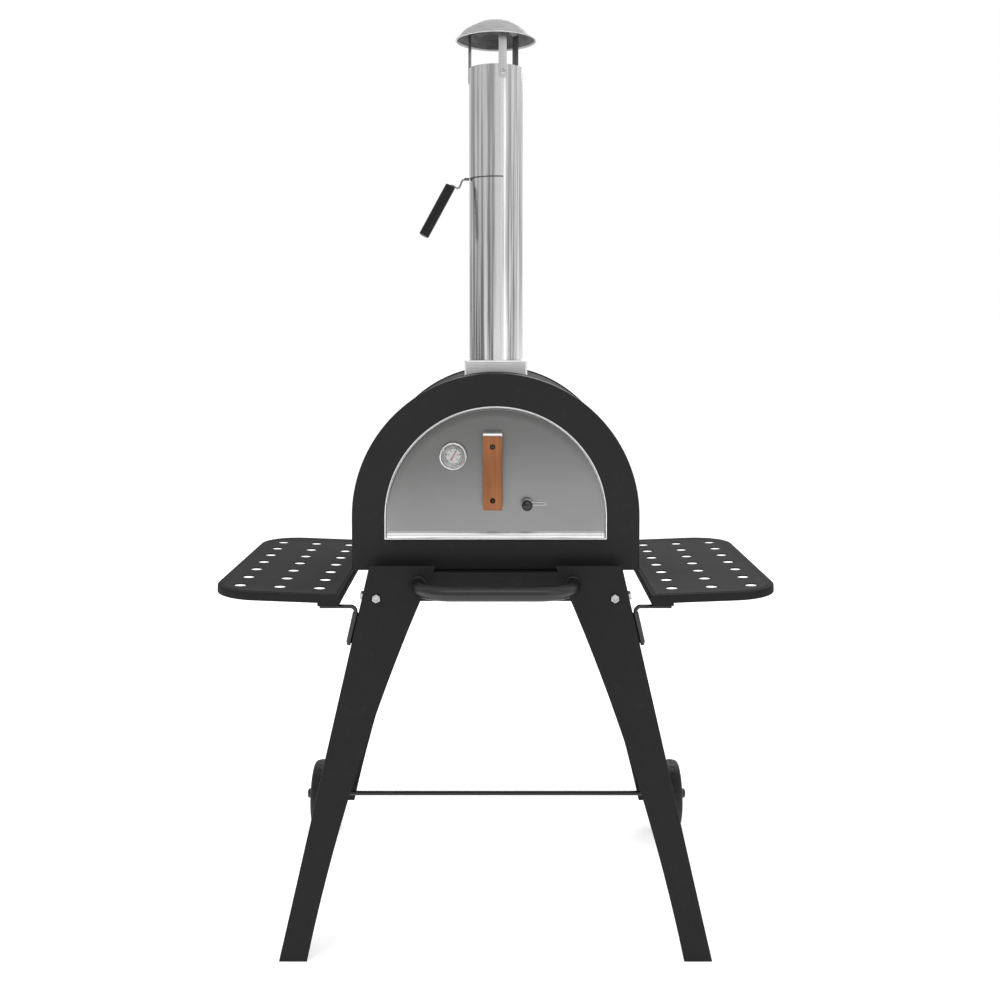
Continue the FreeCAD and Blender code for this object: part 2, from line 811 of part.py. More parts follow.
def wheel_parts():
    inner = wheel_inner
    outer = wheel_outer
    web_in = inner + web_depth
    web_out = outer - web_depth
    tread = wheel_radius
    profile = [
        (bush_radius, inner), (18, inner), (19, web_in), (tread - 14, web_in), (tread - 12, inner),
        (tread - 3, inner), (tread, inner + 3), (tread, outer - 3), (tread - 3, outer),
        (tread - 12, outer), (tread - 14, web_out), (19, web_out), (18, outer), (bush_radius, outer),
    ]
    corners = [Vector(x, axle_y, wheel_radius + r) for r, x in profile]
    centre = (0, axle_y, wheel_radius)
    wheel = turned(Part.makePolygon(corners + corners[:1]), centre, (1, 0, 0))
    for k in range(wheel_ribs):
        rib = box(
            (inner + 3, axle_y - 2.5, wheel_radius + 14),
            (outer - 3, axle_y + 2.5, wheel_radius + tread - 10),
        )
        rib.rotate(Vector(*centre), Vector(1, 0, 0), 360.0 / wheel_ribs * k)
        wheel = wheel.fuse(rib)
    wheel = wheel.cut(on_axle(bush_radius, 0, cap_end))
    bush = on_axle(bush_radius, inner, outer).cut(on_axle(axle_radius + 0.05, 0, cap_end))
    save("wheel_right", wheel)
    save("wheel_left", mirror_x(wheel))
    save("wheel_bush_right", bush)
    save("wheel_bush_left", mirror_x(bush))


# side shelves --------------------------------------------------------------------------------

def shelf_outline(inset, low, high):
    # the shelf's plan: square at the oven, large rounded corners at the outer end
    near_x = shelf_inner + inset
    far_x = shelf_inner + shelf_width - inset
    near_y = shelf_front + inset
    far_y = shelf_front + shelf_length - inset
    r = shelf_corner - inset
    half = r * math.sqrt(0.5)
    first = Vector(far_x - r, near_y, low)
    first_mid = Vector(far_x - r + half, near_y + r - half, low)
    first_end = Vector(far_x, near_y + r, low)
    second = Vector(far_x, far_y - r, low)
    second_mid = Vector(far_x - r + half, far_y - r + half, low)
    second_end = Vector(far_x - r, far_y, low)
    edges = [
        Part.LineSegment(Vector(near_x, near_y, low), first).toShape(),
        Part.Arc(first, first_mid, first_end).toShape(),
        Part.LineSegment(first_end, second).toShape(),
        Part.Arc(second, second_mid, second_end).toShape(),
        Part.LineSegment(second_end, Vector(near_x, far_y, low)).toShape(),
        Part.LineSegment(Vector(near_x, far_y, low), Vector(near_x, near_y, low)).toShape(),
    ]
    return Part.Face(Part.Wire(edges)).extrude(Vector(0, 0, high - low))


def shelf():
    block = shelf_outline(0, shelf_top - shelf_depth, shelf_top)
    rim = [e for e in block.Edges if e.BoundBox.ZMin > shelf_top - 0.01]
    block = block.makeFillet(3, rim)
    bead = cut(
        shelf_outline(bead_start, shelf_top - 0.5, shelf_top + 1),
        shelf_outline(bead_end, shelf_top - 1, shelf_top + 2),
    )
    pan = block.fuse(bead).cut(
        shelf_outline(shelf_sheet, shelf_top - shelf_depth - 1, shelf_top - shelf_sheet))
    rows = [hole_start + hole_pitch * k for k in range(hole_rows)]
    low = shelf_top - shelf_depth
    high = shelf_top + shelf_depth
    holes = [cylinder(shelf_hole, (x, y, low), (x, y, high)) for x in hole_columns for y in rows]
    pan = cut(pan, Part.makeCompound(holes))
    pan.rotate(Vector(shelf_inner, 0, shelf_top), Vector(0, 1, 0), -shelf_tilt)
    return pan


def shelf_channel():
    # a hat channel that carries the shelf on its rod, following the shelf's underside
    wall = 2.0
    low = (shelf_inner + 4, rod_y - channel_half, rod_z + rod_radius)
    high = (shelf_inner + channel_length, rod_y + channel_half, shelf_top + 20)
    hollow = box(
        (low[0] - 1, low[1] + wall, low[2] + wall),
        (high[0] + 1, high[1] - wall, high[2] + 1),
    )
    above = box(
        (low[0] - 24, low[1] - 26, shelf_top - shelf_sheet),
        (high[0] + 260, high[1] + 26, shelf_top + 80),
    )
    above.rotate(Vector(shelf_inner, 0, shelf_top), Vector(0, 1, 0), -shelf_tilt)
    return cut(box(low, high), hollow, above)


def socket_point(z):
    # a point on the axis of the socket tube that stands off the leg's side
    return (side_x(z, -5.0), rod_y, z)


def side_shelves():
    plate = shelf()
    channel = shelf_channel()
    rod_start = (shelf_inner + channel_length - 2, rod_y, rod_z)
    rod = bent_rod([rod_start, socket_point(rod_z), socket_point(sleeve_bottom - 4)], rod_radius, 9)
    far_rod = mirror_ends(rod)
    far_channel = mirror_ends(channel)
    for side, place in (("right", lambda shape: shape), ("left", mirror_x)):
        save("shelf_" + side, place(plate))
        save("shelf_channels_" + side, [place(channel), place(far_channel)])
        save("shelf_rods_" + side, [place(rod), place(far_rod)])
    tube = cylinder(sleeve_radius, socket_point(sleeve_top), socket_point(sleeve_bottom))
    bore = cylinder(rod_radius + 0.4, socket_point(sleeve_top + 5), socket_point(sleeve_bottom - 5))
    save("shelf_sockets", four_corners(tube.cut(bore)))


oven_body()
hearth()
door_trim()
door()
thermometer()
vent()
chimney_foot()
chimney_pipe()
cap_straps()
rain_cap()
damper()
stand()
handle_bar()
axle_parts()
wheel_parts()
side_shelves()
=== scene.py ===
import json
import math
import bmesh
import bpy
from mathutils import Matrix, Vector


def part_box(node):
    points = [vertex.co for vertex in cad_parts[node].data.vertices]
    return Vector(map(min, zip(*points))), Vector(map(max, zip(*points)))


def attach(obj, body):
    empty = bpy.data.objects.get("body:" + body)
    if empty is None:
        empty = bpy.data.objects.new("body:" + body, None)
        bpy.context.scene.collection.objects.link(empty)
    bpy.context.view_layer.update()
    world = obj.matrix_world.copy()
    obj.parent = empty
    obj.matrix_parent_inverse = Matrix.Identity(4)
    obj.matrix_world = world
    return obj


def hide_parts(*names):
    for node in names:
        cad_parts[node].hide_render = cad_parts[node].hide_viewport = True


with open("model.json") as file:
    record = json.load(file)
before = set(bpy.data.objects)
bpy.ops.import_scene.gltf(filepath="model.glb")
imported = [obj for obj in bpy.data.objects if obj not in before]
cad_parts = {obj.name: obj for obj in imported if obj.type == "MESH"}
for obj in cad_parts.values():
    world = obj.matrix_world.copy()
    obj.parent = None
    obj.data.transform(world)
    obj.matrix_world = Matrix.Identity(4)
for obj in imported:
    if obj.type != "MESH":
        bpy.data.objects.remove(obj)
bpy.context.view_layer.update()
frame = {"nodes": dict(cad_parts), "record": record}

nodes = frame["nodes"]
scene = bpy.context.scene
mm = 0.001


def span(name):
    # a CAD node's lowest corner, highest corner and middle, in millimetres
    low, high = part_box(name)
    return low / mm, high / mm, (low + high) / (2 * mm)


# shader graph written as expressions

class Wire:
    # one socket of a graph, which can be added, multiplied and so on
    def __init__(self, graph, socket):
        self.graph = graph
        self.socket = socket

    def maths(self, operation, *values):
        return self.graph.add("ShaderNodeMath", {"operation": operation}, dict(enumerate(values)))

    def __add__(self, other):
        return self.maths("ADD", self, other)

    def __radd__(self, other):
        return self.maths("ADD", other, self)

    def __sub__(self, other):
        return self.maths("SUBTRACT", self, other)

    def __rsub__(self, other):
        return self.maths("SUBTRACT", other, self)

    def __mul__(self, other):
        return self.maths("MULTIPLY", self, other)

    def __rmul__(self, other):
        return self.maths("MULTIPLY", other, self)

    def __abs__(self):
        return self.maths("ABSOLUTE", self)


class Graph:
    # the nodes of one material or of the world
    def __init__(self, owner):
        owner.use_nodes = True
        self.tree = owner.node_tree
        self.tree.nodes.clear()

    def add(self, kind, settings=None, inputs=None, output=0):
        made = self.tree.nodes.new(kind)
        for key, value in (settings or {}).items():
            if key == "stops":
                self.setStops(made.color_ramp, value)
            else:
                setattr(made, key, value)
        for key, value in (inputs or {}).items():
            self.feed(made.inputs[key], value)
        return Wire(self, made.outputs[output])

    def setStops(self, ramp, stops):
        while len(ramp.elements) < len(stops):
            ramp.elements.new(0.5)
        for element, (place, colour) in zip(ramp.elements, stops):
            element.position = place
            element.color = (*colour, 1)

    def feed(self, socket, value):
        if isinstance(value, Wire):
            self.tree.links.new(value.socket, socket)
        else:
            socket.default_value = value


class Paint(Graph):
    # a material with one Principled shader; the values given go on the shader's own sockets
    def __init__(self, name, values):
        self.material = bpy.data.materials.new(name)
        super().__init__(self.material)
        self.shader = self.tree.nodes.new("ShaderNodeBsdfPrincipled")
        output = self.tree.nodes.new("ShaderNodeOutputMaterial")
        self.tree.links.new(self.shader.outputs[0], output.inputs[0])
        for key, value in values.items():
            self.feed(self.shader.inputs[key], value)

    def finish(self, **wires):
        names = {
            "colour": "Base Color", "roughness": "Roughness", "normal": "Normal", "glow": "Emission Color",
        }
        for key, wire in wires.items():
            self.feed(self.shader.inputs[names[key]], wire)
        return self.material

    def place(self):
        return self.add("ShaderNodeTexCoord", output="Object")

    def axis(self, letter):
        return self.add("ShaderNodeSeparateXYZ", {}, {0: self.place()}, letter)

    def stretched(self, scale):
        return self.add("ShaderNodeMapping", {}, {"Vector": self.place(), "Scale": scale})

    def noise(self, scale, detail=4.0, rough=0.5, vector=None):
        vector = vector or self.place()
        inputs = {"Vector": vector, "Scale": scale, "Detail": detail, "Roughness": rough}
        return self.add("ShaderNodeTexNoise", {}, inputs)

    def lines(self, scale, detail=4.0, rough=0.5):
        # noise drawn out along one way
        return self.noise(1, detail, rough, self.stretched(scale))

    def band(self, value, low, high, outLow=0.0, outHigh=1.0):
        inputs = {0: value, 1: low, 2: high, 3: outLow, 4: outHigh}
        return self.add("ShaderNodeMapRange", {"interpolation_type": "SMOOTHSTEP"}, inputs)

    def mixColour(self, factor, first, second):
        inputs = {0: factor, 6: tint(first), 7: tint(second)}
        return self.add("ShaderNodeMix", {"data_type": "RGBA"}, inputs, 2)

    def bump(self, height, strength, distance, normal=None):
        inputs = {"Height": height, "Strength": strength, "Distance": distance}
        if normal is not None:
            inputs["Normal"] = normal
        return self.add("ShaderNodeBump", {}, inputs, "Normal")

    def roundedEdges(self, radius):
        return self.add("ShaderNodeBevel", {"samples": 4}, {"Radius": radius}, 0)

    def edgeMask(self, radius):
        # 0 on flat stretches, up to 1 where a corner turns
        rounded = self.roundedEdges(radius)
        straight = self.add("ShaderNodeNewGeometry", output="Normal")
        both = {0: rounded, 1: straight}
        dot = self.add("ShaderNodeVectorMath", {"operation": "DOT_PRODUCT"}, both, "Value")
        return self.band(1 - dot, 0.02, 0.25)


def tint(value):
    # a lone number stands for a grey
    return (value, value, value, 1) if isinstance(value, float) else value


# powder coat: a fine orange peel, a little dust, corners rubbed lighter
coatLook = {
    "dark": 0.0055, "light": 0.008, "dust": 0.022, "rubbed": 0.05, "gloss": 0.24, "grain": 900,
    "edge": 0.0012, "rough": 0.47, "peel": 0.22, "wear": 0.6,
}


def powderCoat(name, **changes):
    look = {**coatLook, **changes}
    paint = Paint(name, {"Specular IOR Level": look["gloss"]})
    spots = paint.noise(look["grain"], 3)
    cloud = paint.noise(9, 4)
    dust = paint.noise(45, 6, 0.7)
    rubbed = paint.edgeMask(look["edge"]) * paint.band(dust, 0.35, 0.7)
    base = paint.mixColour(cloud, look["dark"], look["light"])
    dusty = paint.mixColour(paint.band(dust, 0.52, 0.8, 0, 0.35), base, look["dust"])
    worn = paint.mixColour(rubbed * look["wear"], dusty, look["rubbed"])
    rough = look["rough"] + (cloud - 0.5) * 0.12 + (spots - 0.5) * 0.1
    peel = paint.bump(spots, look["peel"], 0.0004, paint.roundedEdges(look["edge"]))
    return paint.finish(colour=worn, roughness=rough, normal=peel)


# stainless sheet: long fine brush lines one way, faint smudges, roughness that follows them
steelLook = {
    "dark": 0.3, "light": 0.42, "stain": (0.33, 0.31, 0.29, 1), "smudge": 0.35, "brush": (6, 6, 900),
    "stretch": 0.45, "rough": 0.36, "vary": 0.14, "depth": 0.1, "edge": 0.0008,
}


def brushedSteel(name, **changes):
    look = {**steelLook, **changes}
    paint = Paint(name, {"Metallic": 1.0, "Anisotropic": look["stretch"]})
    lines = paint.lines(look["brush"], 3, 0.6)
    wide = paint.lines(tuple(s * 0.12 for s in look["brush"]), 2)
    smudge = paint.noise(7, 5, 0.6)
    tone = paint.mixColour(paint.band(lines, 0.3, 0.7), look["dark"], look["light"])
    tone = paint.mixColour(paint.band(smudge, 0.45, 0.75, 0, look["smudge"]), tone, look["stain"])
    rough = look["rough"] + (lines - 0.5) * look["vary"] + (wide - 0.5) * look["vary"]
    rough = rough + paint.band(smudge, 0.4, 0.8, 0, 0.06)
    normal = paint.bump(lines, look["depth"], 0.0002, paint.roundedEdges(look["edge"]))
    return paint.finish(colour=tone, roughness=rough, normal=normal)


# the door: satin sheet, with painted shade darkening it towards the crown and the left side, and a painted
# lighter tone along the bottom
def doorSheet(name, look):
    paint = Paint(name, {"Metallic": 1.0, "Anisotropic": 0.3})
    low, high = span("door_panel")[:2]
    height = paint.band(paint.axis("Z"), low.z * mm, high.z * mm)
    across = paint.band(paint.axis("X"), low.x * mm, high.x * mm)
    lines = paint.lines((5, 5, 700), 3, 0.6)
    cloud = paint.lines((5, 5, 3), 4, 0.55)
    # painted shade: darker towards the top and the left, lighter along the bottom
    paintedShade = paint.band(height - across * 0.35 + (cloud - 0.5) * 0.7, -0.15, 0.85)
    tone = paint.mixColour(paintedShade, look["litTone"], look["shadedTone"])
    tone = paint.mixColour(paint.band(lines, 0.35, 0.65, 0, 0.12), tone, look["line"])
    rough = look["rough"] + (lines - 0.5) * 0.06 + (cloud - 0.5) * 0.1
    normal = paint.bump(lines, 0.03, 0.0002, paint.roundedEdges(0.0006))
    return paint.finish(colour=tone, roughness=rough, normal=normal)


# the pipe: bright drawn tube, with painted reflection streaks running the whole length at fixed places round
# it, and painted dark reflection deepening towards its foot
def drawnTube(name, look):
    paint = Paint(name, {"Metallic": 1.0})
    low, high, middle = span("chimney_pipe")
    centred = {0: paint.place(), 1: (middle.x * mm, middle.y * mm, 0)}
    fromAxis = paint.add("ShaderNodeVectorMath", {"operation": "SUBTRACT"}, centred)
    tall = {0: fromAxis, 1: (1, 1, look["drift"])}
    drawn = paint.add("ShaderNodeVectorMath", {"operation": "MULTIPLY"}, tall)
    broad = paint.noise(look["broad"], 2, 0.5, drawn)
    fine = paint.noise(look["fine"], 3, 0.6, drawn)
    foot = paint.band(paint.axis("Z"), low.z * mm, high.z * mm, 1.0, 0.2)
    # painted reflection: light and dark streaks round the tube
    paintedStreak = paint.band(broad * 0.5 + fine * 0.5, 0.4, 0.56)
    tone = paint.mixColour(paintedStreak, look["dark"], look["light"])
    # painted dark reflection between the streaks, strongest at the foot
    tone = paint.mixColour(foot * (1 - paintedStreak) * 0.7, tone, look["deep"])
    rough = look["rough"] + (fine - 0.5) * 0.12
    return paint.finish(colour=tone, roughness=rough, normal=paint.bump(fine, 0.12, 0.0003))


# hardwood grip: long figure and open pores along the grain, darker heart in the middle
def oiledWood(name, look):
    paint = Paint(name, {"Specular IOR Level": 0.3})
    warp = paint.lines((30, 30, 4), 3)
    rings = paint.lines((230, 230, 8), 5, 0.65)
    pores = paint.lines((1300, 1300, 45), 2)
    middle = span("handle_grip")[2]
    heart = paint.band(abs(paint.axis("Z") - middle.z * mm), 0.01, 0.05, 0.35, 0.0)
    figure = rings * 0.6 + warp * 0.4 - heart * 0.3
    grain = paint.add("ShaderNodeValToRGB", {"stops": look["stops"]}, {0: figure})
    deep = paint.mixColour(paint.band(pores, 0.6, 0.75, 0, 0.5), grain, look["pore"])
    rough = 0.5 + (rings - 0.5) * 0.2
    return paint.finish(colour=deep, roughness=rough, normal=paint.bump(pores, 0.3, 0.0003))


plasticLook = {"gloss": 0.5, "grain": 900, "worn": 0.03, "scuff": 0.2, "rough": 0.4, "relief": 0.05}


def mouldedPlastic(name, dark, light, **changes):
    look = {**plasticLook, **changes}
    paint = Paint(name, {"Specular IOR Level": look["gloss"]})
    texture = paint.noise(look["grain"], 2)
    cloud = paint.noise(20, 4)
    scuff = paint.band(paint.noise(60, 6, 0.75), 0.55, 0.8, 0, look["scuff"])
    tone = paint.mixColour(cloud, dark, light)
    tone = paint.mixColour(scuff, tone, look["worn"])
    rough = look["rough"] + (cloud - 0.5) * 0.1 + scuff * 0.2
    normal = paint.bump(texture, look["relief"], 0.0003, paint.roundedEdges(0.0008))
    return paint.finish(colour=tone, roughness=rough, normal=normal)


def bakedStone(name, look):
    paint = Paint(name, {"Specular IOR Level": 0.2})
    grain = paint.noise(400, 4)
    cloud = paint.noise(12, 5, 0.6)
    scorch = paint.band(paint.noise(6, 4, 0.7), 0.5, 0.75, 0, 0.55)
    tone = paint.mixColour(cloud, look["dark"], look["light"])
    tone = paint.mixColour(scorch, tone, look["scorch"])
    rough = 0.85 + (grain - 0.5) * 0.2
    return paint.finish(colour=tone, roughness=rough, normal=paint.bump(grain, 0.5, 0.0006))


def clearGlass(name):
    paint = Paint(name, {"Transmission Weight": 1.0, "IOR": 1.45, "Specular IOR Level": 0.5})
    smear = paint.noise(60, 4)
    return paint.finish(colour=tint(0.97), roughness=0.02 + smear * 0.05)


fineBrush = (300, 300, 300)
hoodBrush = (60, 60, 500)

finishes = {
    "oven_black": powderCoat("ovenCoat", dark=0.0075, light=0.011),
    "stand_black": powderCoat("standCoat", grain=1100, rough=0.55),
    "shelf_black": powderCoat("shelfCoat", dark=0.013, light=0.019, rough=0.72, gloss=0.1),
    "rod_black": powderCoat("rodCoat", grain=600, rough=0.32, gloss=0.6),
    "iron": powderCoat("grateIron", dark=0.02, light=0.04, rough=0.7, peel=0.6),
    "door_steel": doorSheet("doorSteel", {
        "litTone": 0.255, "shadedTone": (0.165, 0.163, 0.161, 1), "line": 0.21, "rough": 0.25}),
    "flue_steel": drawnTube("flueSteel", {
        "dark": 0.52, "light": 0.84, "deep": 0.07, "rough": 0.23, "broad": 60, "fine": 190, "drift": 0.012}),
    "cap_steel": brushedSteel("capSteel", dark=0.48, light=0.62, rough=0.32, brush=hoodBrush),
    "inner_steel": brushedSteel("innerSteel", dark=0.25, light=0.35, rough=0.42),
    "gauge_steel": brushedSteel("gaugeSteel", dark=0.6, light=0.75, rough=0.13, vary=0.05, brush=fineBrush),
    "zinc": brushedSteel("zincPlate", dark=0.4, light=0.6, rough=0.28, vary=0.1, brush=fineBrush),
    "dark_screw": brushedSteel("blackScrew", dark=0.03, light=0.06, rough=0.35, vary=0.1, brush=fineBrush),
    "grip_wood": oiledWood("gripWood", {
        "stops": [(0.25, (0.155, 0.048, 0.014)), (0.48, (0.235, 0.082, 0.028)), (0.7, (0.32, 0.122, 0.046))],
        "pore": (0.15, 0.05, 0.02, 1)}),
    "knob_black": mouldedPlastic(
        "knobPhenolic", 0.008, 0.012, gloss=0.6, grain=200, scuff=0.1, rough=0.14, relief=0.02),
    "grip_black": mouldedPlastic(
        "gripPlastic", 0.004, 0.007, gloss=0.25, grain=1500, scuff=0.25, rough=0.42, relief=0.25),
    "wheel_black": mouldedPlastic(
        "wheelPlastic", 0.008, 0.014, gloss=0.3, grain=1200, worn=0.06, scuff=0.5, rough=0.55, relief=0.4),
    "bush_grey": mouldedPlastic("bushNylon", 0.4, 0.5, gloss=0.4, worn=0.3, scuff=0.3, rough=0.5, relief=0.1),
    "stone": bakedStone("ovenStone", {
        "dark": (0.5, 0.42, 0.33, 1), "light": (0.64, 0.56, 0.46, 1), "scorch": (0.16, 0.12, 0.09, 1)}),
    "wool": bakedStone("fibreWool", {
        "dark": (0.7, 0.68, 0.62, 1), "light": (0.8, 0.78, 0.74, 1), "scorch": (0.6, 0.56, 0.5, 1)}),
    "dial": mouldedPlastic("dialEnamel", 0.78, 0.85, worn=0.7),
    "needle_red": mouldedPlastic(
        "needlePaint", (0.55, 0.15, 0.025, 1), (0.65, 0.2, 0.04, 1), worn=(0.5, 0.12, 0.05, 1)),
    "glass": clearGlass("gaugeGlass"),
}
dialInk = mouldedPlastic("dialInk", 0.02, 0.04, gloss=0.4, worn=0.08, rough=0.5)
print("finishes", len(finishes))

slotOf = {part["node"]: part["material_slot"] for part in frame["record"]["subparts"]}
for name, piece in nodes.items():
    piece.data.materials.clear()
    piece.data.materials.append(finishes[slotOf[name]])
print("painted", len(nodes), "CAD nodes")


# mesh work, all in millimetres until makeMesh

def circlePoints(radius, steps, height=0.0):
    turns = [2 * math.pi * k / steps for k in range(steps)]
    return [Vector((radius * math.cos(t), radius * math.sin(t), height)) for t in turns]


def arcPoints(middle, radius, start, end, steps):
    # (across, up) pairs along an arc, angles in degrees
    found = []
    for k in range(steps + 1):
        turn = math.radians(start + (end - start) * k / steps)
        found.append((middle[0] + radius * math.cos(turn), middle[1] + radius * math.sin(turn)))
    return found


def bridge(rings, ends=True, joined=False):
    # quads between rings of equal count; the first and last are filled, or joined to each other
    count = len(rings[0])
    points = [p for ring in rings for p in ring]
    faces = []
    steps = range(len(rings)) if joined else range(len(rings) - 1)
    for r in steps:
        here = r * count
        there = (r + 1) % len(rings) * count
        for k in range(count):
            beside = (k + 1) % count
            faces.append((here + k, here + beside, there + beside, there + k))
    if ends and not joined:
        faces.append(tuple(reversed(range(count))))
        faces.append(tuple(range(len(points) - count, len(points))))
    return points, faces


def spin(profile, steps=64, joined=True):
    # a closed (radius, height) outline turned about Z; an outline that ends on the axis is not joined
    onAxis = profile[0][0] < 1e-6 and profile[-1][0] < 1e-6
    middle = profile[1:-1] if onAxis else profile
    points, faces = bridge([circlePoints(r, steps, z) for r, z in middle], False, joined and not onAxis)
    if onAxis:
        last = len(points) - steps
        for tip, start in ((profile[0][1], 0), (profile[-1][1], last)):
            points.append(Vector((0, 0, tip)))
            for k in range(steps):
                faces.append((start + k, start + (k + 1) % steps, len(points) - 1))
    return points, faces


def softened(corners, radius, steps=4):
    # the same closed outline with each corner turned by a small curve
    found = []
    for k, corner in enumerate(corners):
        here = Vector(corner)
        before = Vector(corners[k - 1]) - here
        after = Vector(corners[(k + 1) % len(corners)]) - here
        reach = min(radius, before.length * 0.45, after.length * 0.45)
        start = here + before.normalized() * reach
        end = here + after.normalized() * reach
        for j in range(steps + 1):
            t = j / steps
            found.append(tuple(start * (1 - t) ** 2 + here * 2 * t * (1 - t) + end * t ** 2))
    return found


def bentPath(points, radius, steps=10):
    # straight runs with a true arc at each inner point
    points = [Vector(p) for p in points]
    path = [points[0]]
    for before, corner, after in zip(points, points[1:], points[2:]):
        into = (corner - before).normalized()
        out = (after - corner).normalized()
        turn = into.angle(out)
        start = corner - into * radius * math.tan(turn / 2)
        inward = (out - into).normalized()
        hub = corner + inward * (radius / math.cos(turn / 2))
        axis = into.cross(out).normalized()
        for k in range(steps + 1):
            path.append(hub + Matrix.Rotation(turn * k / steps, 3, axis) @ (start - hub))
    path.append(points[-1])
    return path


def sweep(path, section, sideways=None):
    # carry a closed 2D section along a path; sideways keeps a flat section from twisting
    rings = []
    across = Vector(sideways) if sideways else None
    for k, place in enumerate(path):
        along = (path[min(k + 1, len(path) - 1)] - path[max(k - 1, 0)]).normalized()
        if across is None:
            across = along.orthogonal().normalized()
        across = (across - along * across.dot(along)).normalized()
        outward = along.cross(across)
        shape = section(k / (len(path) - 1)) if callable(section) else section
        rings.append([place + across * a + outward * b for a, b in shape])
    return bridge(rings)


def roundSection(radius, steps=24):
    return [(p.x, p.y) for p in circlePoints(radius, steps)]


def stripSection(width, thick, edge):
    half, deep = width / 2, thick / 2
    return softened([(-half, -deep), (half, -deep), (half, deep), (-half, deep)], edge, 3)


def moved(shape, matrix):
    points, faces = shape
    return [matrix @ Vector(p) for p in points], faces


def facing(direction, place):
    # a matrix that stands a shape drawn up Z along a direction at a place
    turn = Vector(direction).to_track_quat("Z", "Y").to_matrix().to_4x4()
    return Matrix.Translation(Vector(place)) @ turn


def inMetres(matrix):
    return Matrix.Translation(matrix.translation * mm) @ matrix.to_3x3().to_4x4()


def shaded(mesh, sharp=35):
    mesh.shade_smooth()
    mesh.set_sharp_from_angle(angle=math.radians(sharp))
    return mesh


def makeMesh(name, shapes, sharp=35):
    mesh = bpy.data.meshes.new(name)
    build = bmesh.new()
    for points, faces in shapes:
        made = [build.verts.new(Vector(p) * mm) for p in points]
        for face in faces:
            build.faces.new([made[k] for k in face])
    bmesh.ops.remove_doubles(build, verts=build.verts, dist=1e-7)
    bmesh.ops.recalc_face_normals(build, faces=build.faces)
    build.to_mesh(mesh)
    build.free()
    return shaded(mesh, sharp)


def linked(name, data):
    made = bpy.data.objects.new(name, data)
    scene.collection.objects.link(made)
    return made


def settled(blank):
    # the mesh that an object's modifiers or text end up as; the object itself goes
    solved = blank.evaluated_get(bpy.context.evaluated_depsgraph_get())
    mesh = bpy.data.meshes.new_from_object(solved)
    bpy.data.objects.remove(blank)
    return mesh


def carve(name, shapes, cutters, sharp=35):
    # shapes with the cutters' space taken out of them
    body = linked(name + "Blank", makeMesh(name + "Blank", shapes))
    tool = linked(name + "Tool", makeMesh(name + "Tool", cutters))
    change = body.modifiers.new("carve", "BOOLEAN")
    change.operation = "DIFFERENCE"
    change.solver = "EXACT"
    change.object = tool
    mesh = settled(body)
    mesh.name = name
    bpy.data.objects.remove(tool)
    return shaded(mesh, sharp)


def thickened(name, skin, wall):
    # a sheet given its thickness inwards
    sheet = linked(name + "Blank", skin)
    change = sheet.modifiers.new("wall", "SOLIDIFY")
    change.thickness = wall * mm
    change.offset = -1
    change.use_even_offset = True
    mesh = settled(sheet)
    mesh.name = name
    return shaded(mesh)


def makePiece(name, mesh, body, slotName, *replaced, finish=None):
    piece = linked(name, mesh)
    mesh.materials.clear()
    mesh.materials.append(finish or finishes[slotName])
    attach(piece, body)
    if replaced:
        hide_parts(*replaced)


def makeSolid(name, shapes, body, slotName, *replaced, sharp=35, finish=None):
    makePiece(name, makeMesh(name, shapes, sharp), body, slotName, *replaced, finish=finish)


# fasteners

def hexHead(flats, height):
    # a hexagon with turned-down corners and a shallow dish, standing on z = 0
    steps = 48
    inner = flats / 2
    turns = [2 * math.pi * k / steps for k in range(steps)]
    reach = [inner / math.cos((t + math.pi / 6) % (math.pi / 3) - math.pi / 6) for t in turns]

    sides = [(r * math.cos(t), r * math.sin(t), r) for t, r in zip(turns, reach)]
    foot = [Vector((x, y, 0)) for x, y, r in sides]
    shoulder = [Vector((x, y, height - 0.3 - (r - inner) * 0.6)) for x, y, r in sides]
    rings = [foot, shoulder, circlePoints(inner * 0.96, steps, height)]
    rings += [circlePoints(inner * 0.62, steps, height), circlePoints(inner * 0.5, steps, height - 0.8)]
    return bridge(rings)


def domeHead(radius, height, steps=32):
    # a low round head with a short straight rim
    rise = height * 0.85
    curve = (radius ** 2 + rise ** 2) / (2 * rise)
    top = []
    for k in range(9):
        out = radius * (1 - k / 8)
        top.append((out, height - curve + math.sqrt(curve ** 2 - out ** 2)))
    return spin([(0, 0), (radius, 0)] + top[:-1] + [(0, height)], steps)


def crossRecess(reach, width, low, high):
    # a cross-shaped cutter, wider at the top
    quarter = [(reach, -width / 2), (reach, width / 2), (width / 2, width / 2)]
    outline = []
    for turn in (0, 90, 180, 270):
        rotated = Matrix.Rotation(math.radians(turn), 2)
        outline += [rotated @ Vector(corner) for corner in quarter]
    rings = []
    for z, grow in ((low, 0.6), (high, 1.15)):
        rings.append([Vector((p.x * grow, p.y * grow, z)) for p in outline])
    return [bridge(rings)]


# door

def archRing(radius, bottom, level, archZ, steps=72):
    # the oven's outline at a depth: round over the top, straight sides, closed along the bottom
    ring = [Vector((radius, level, bottom))]
    for x, z in arcPoints((0, archZ), radius, 0, 180, steps):
        ring.append(Vector((x, level, z)))
    ring.append(Vector((-radius, level, bottom)))
    return ring


def stadium(middle, half, radius, level, steps=8):
    # a slot's outline: two half rounds joined by straight sides
    right = arcPoints((middle.x + half, middle.z), radius, -90, 90, steps)
    left = arcPoints((middle.x - half, middle.z), radius, 90, 270, steps)
    return [Vector((x, level, z)) for x, z in right + left]


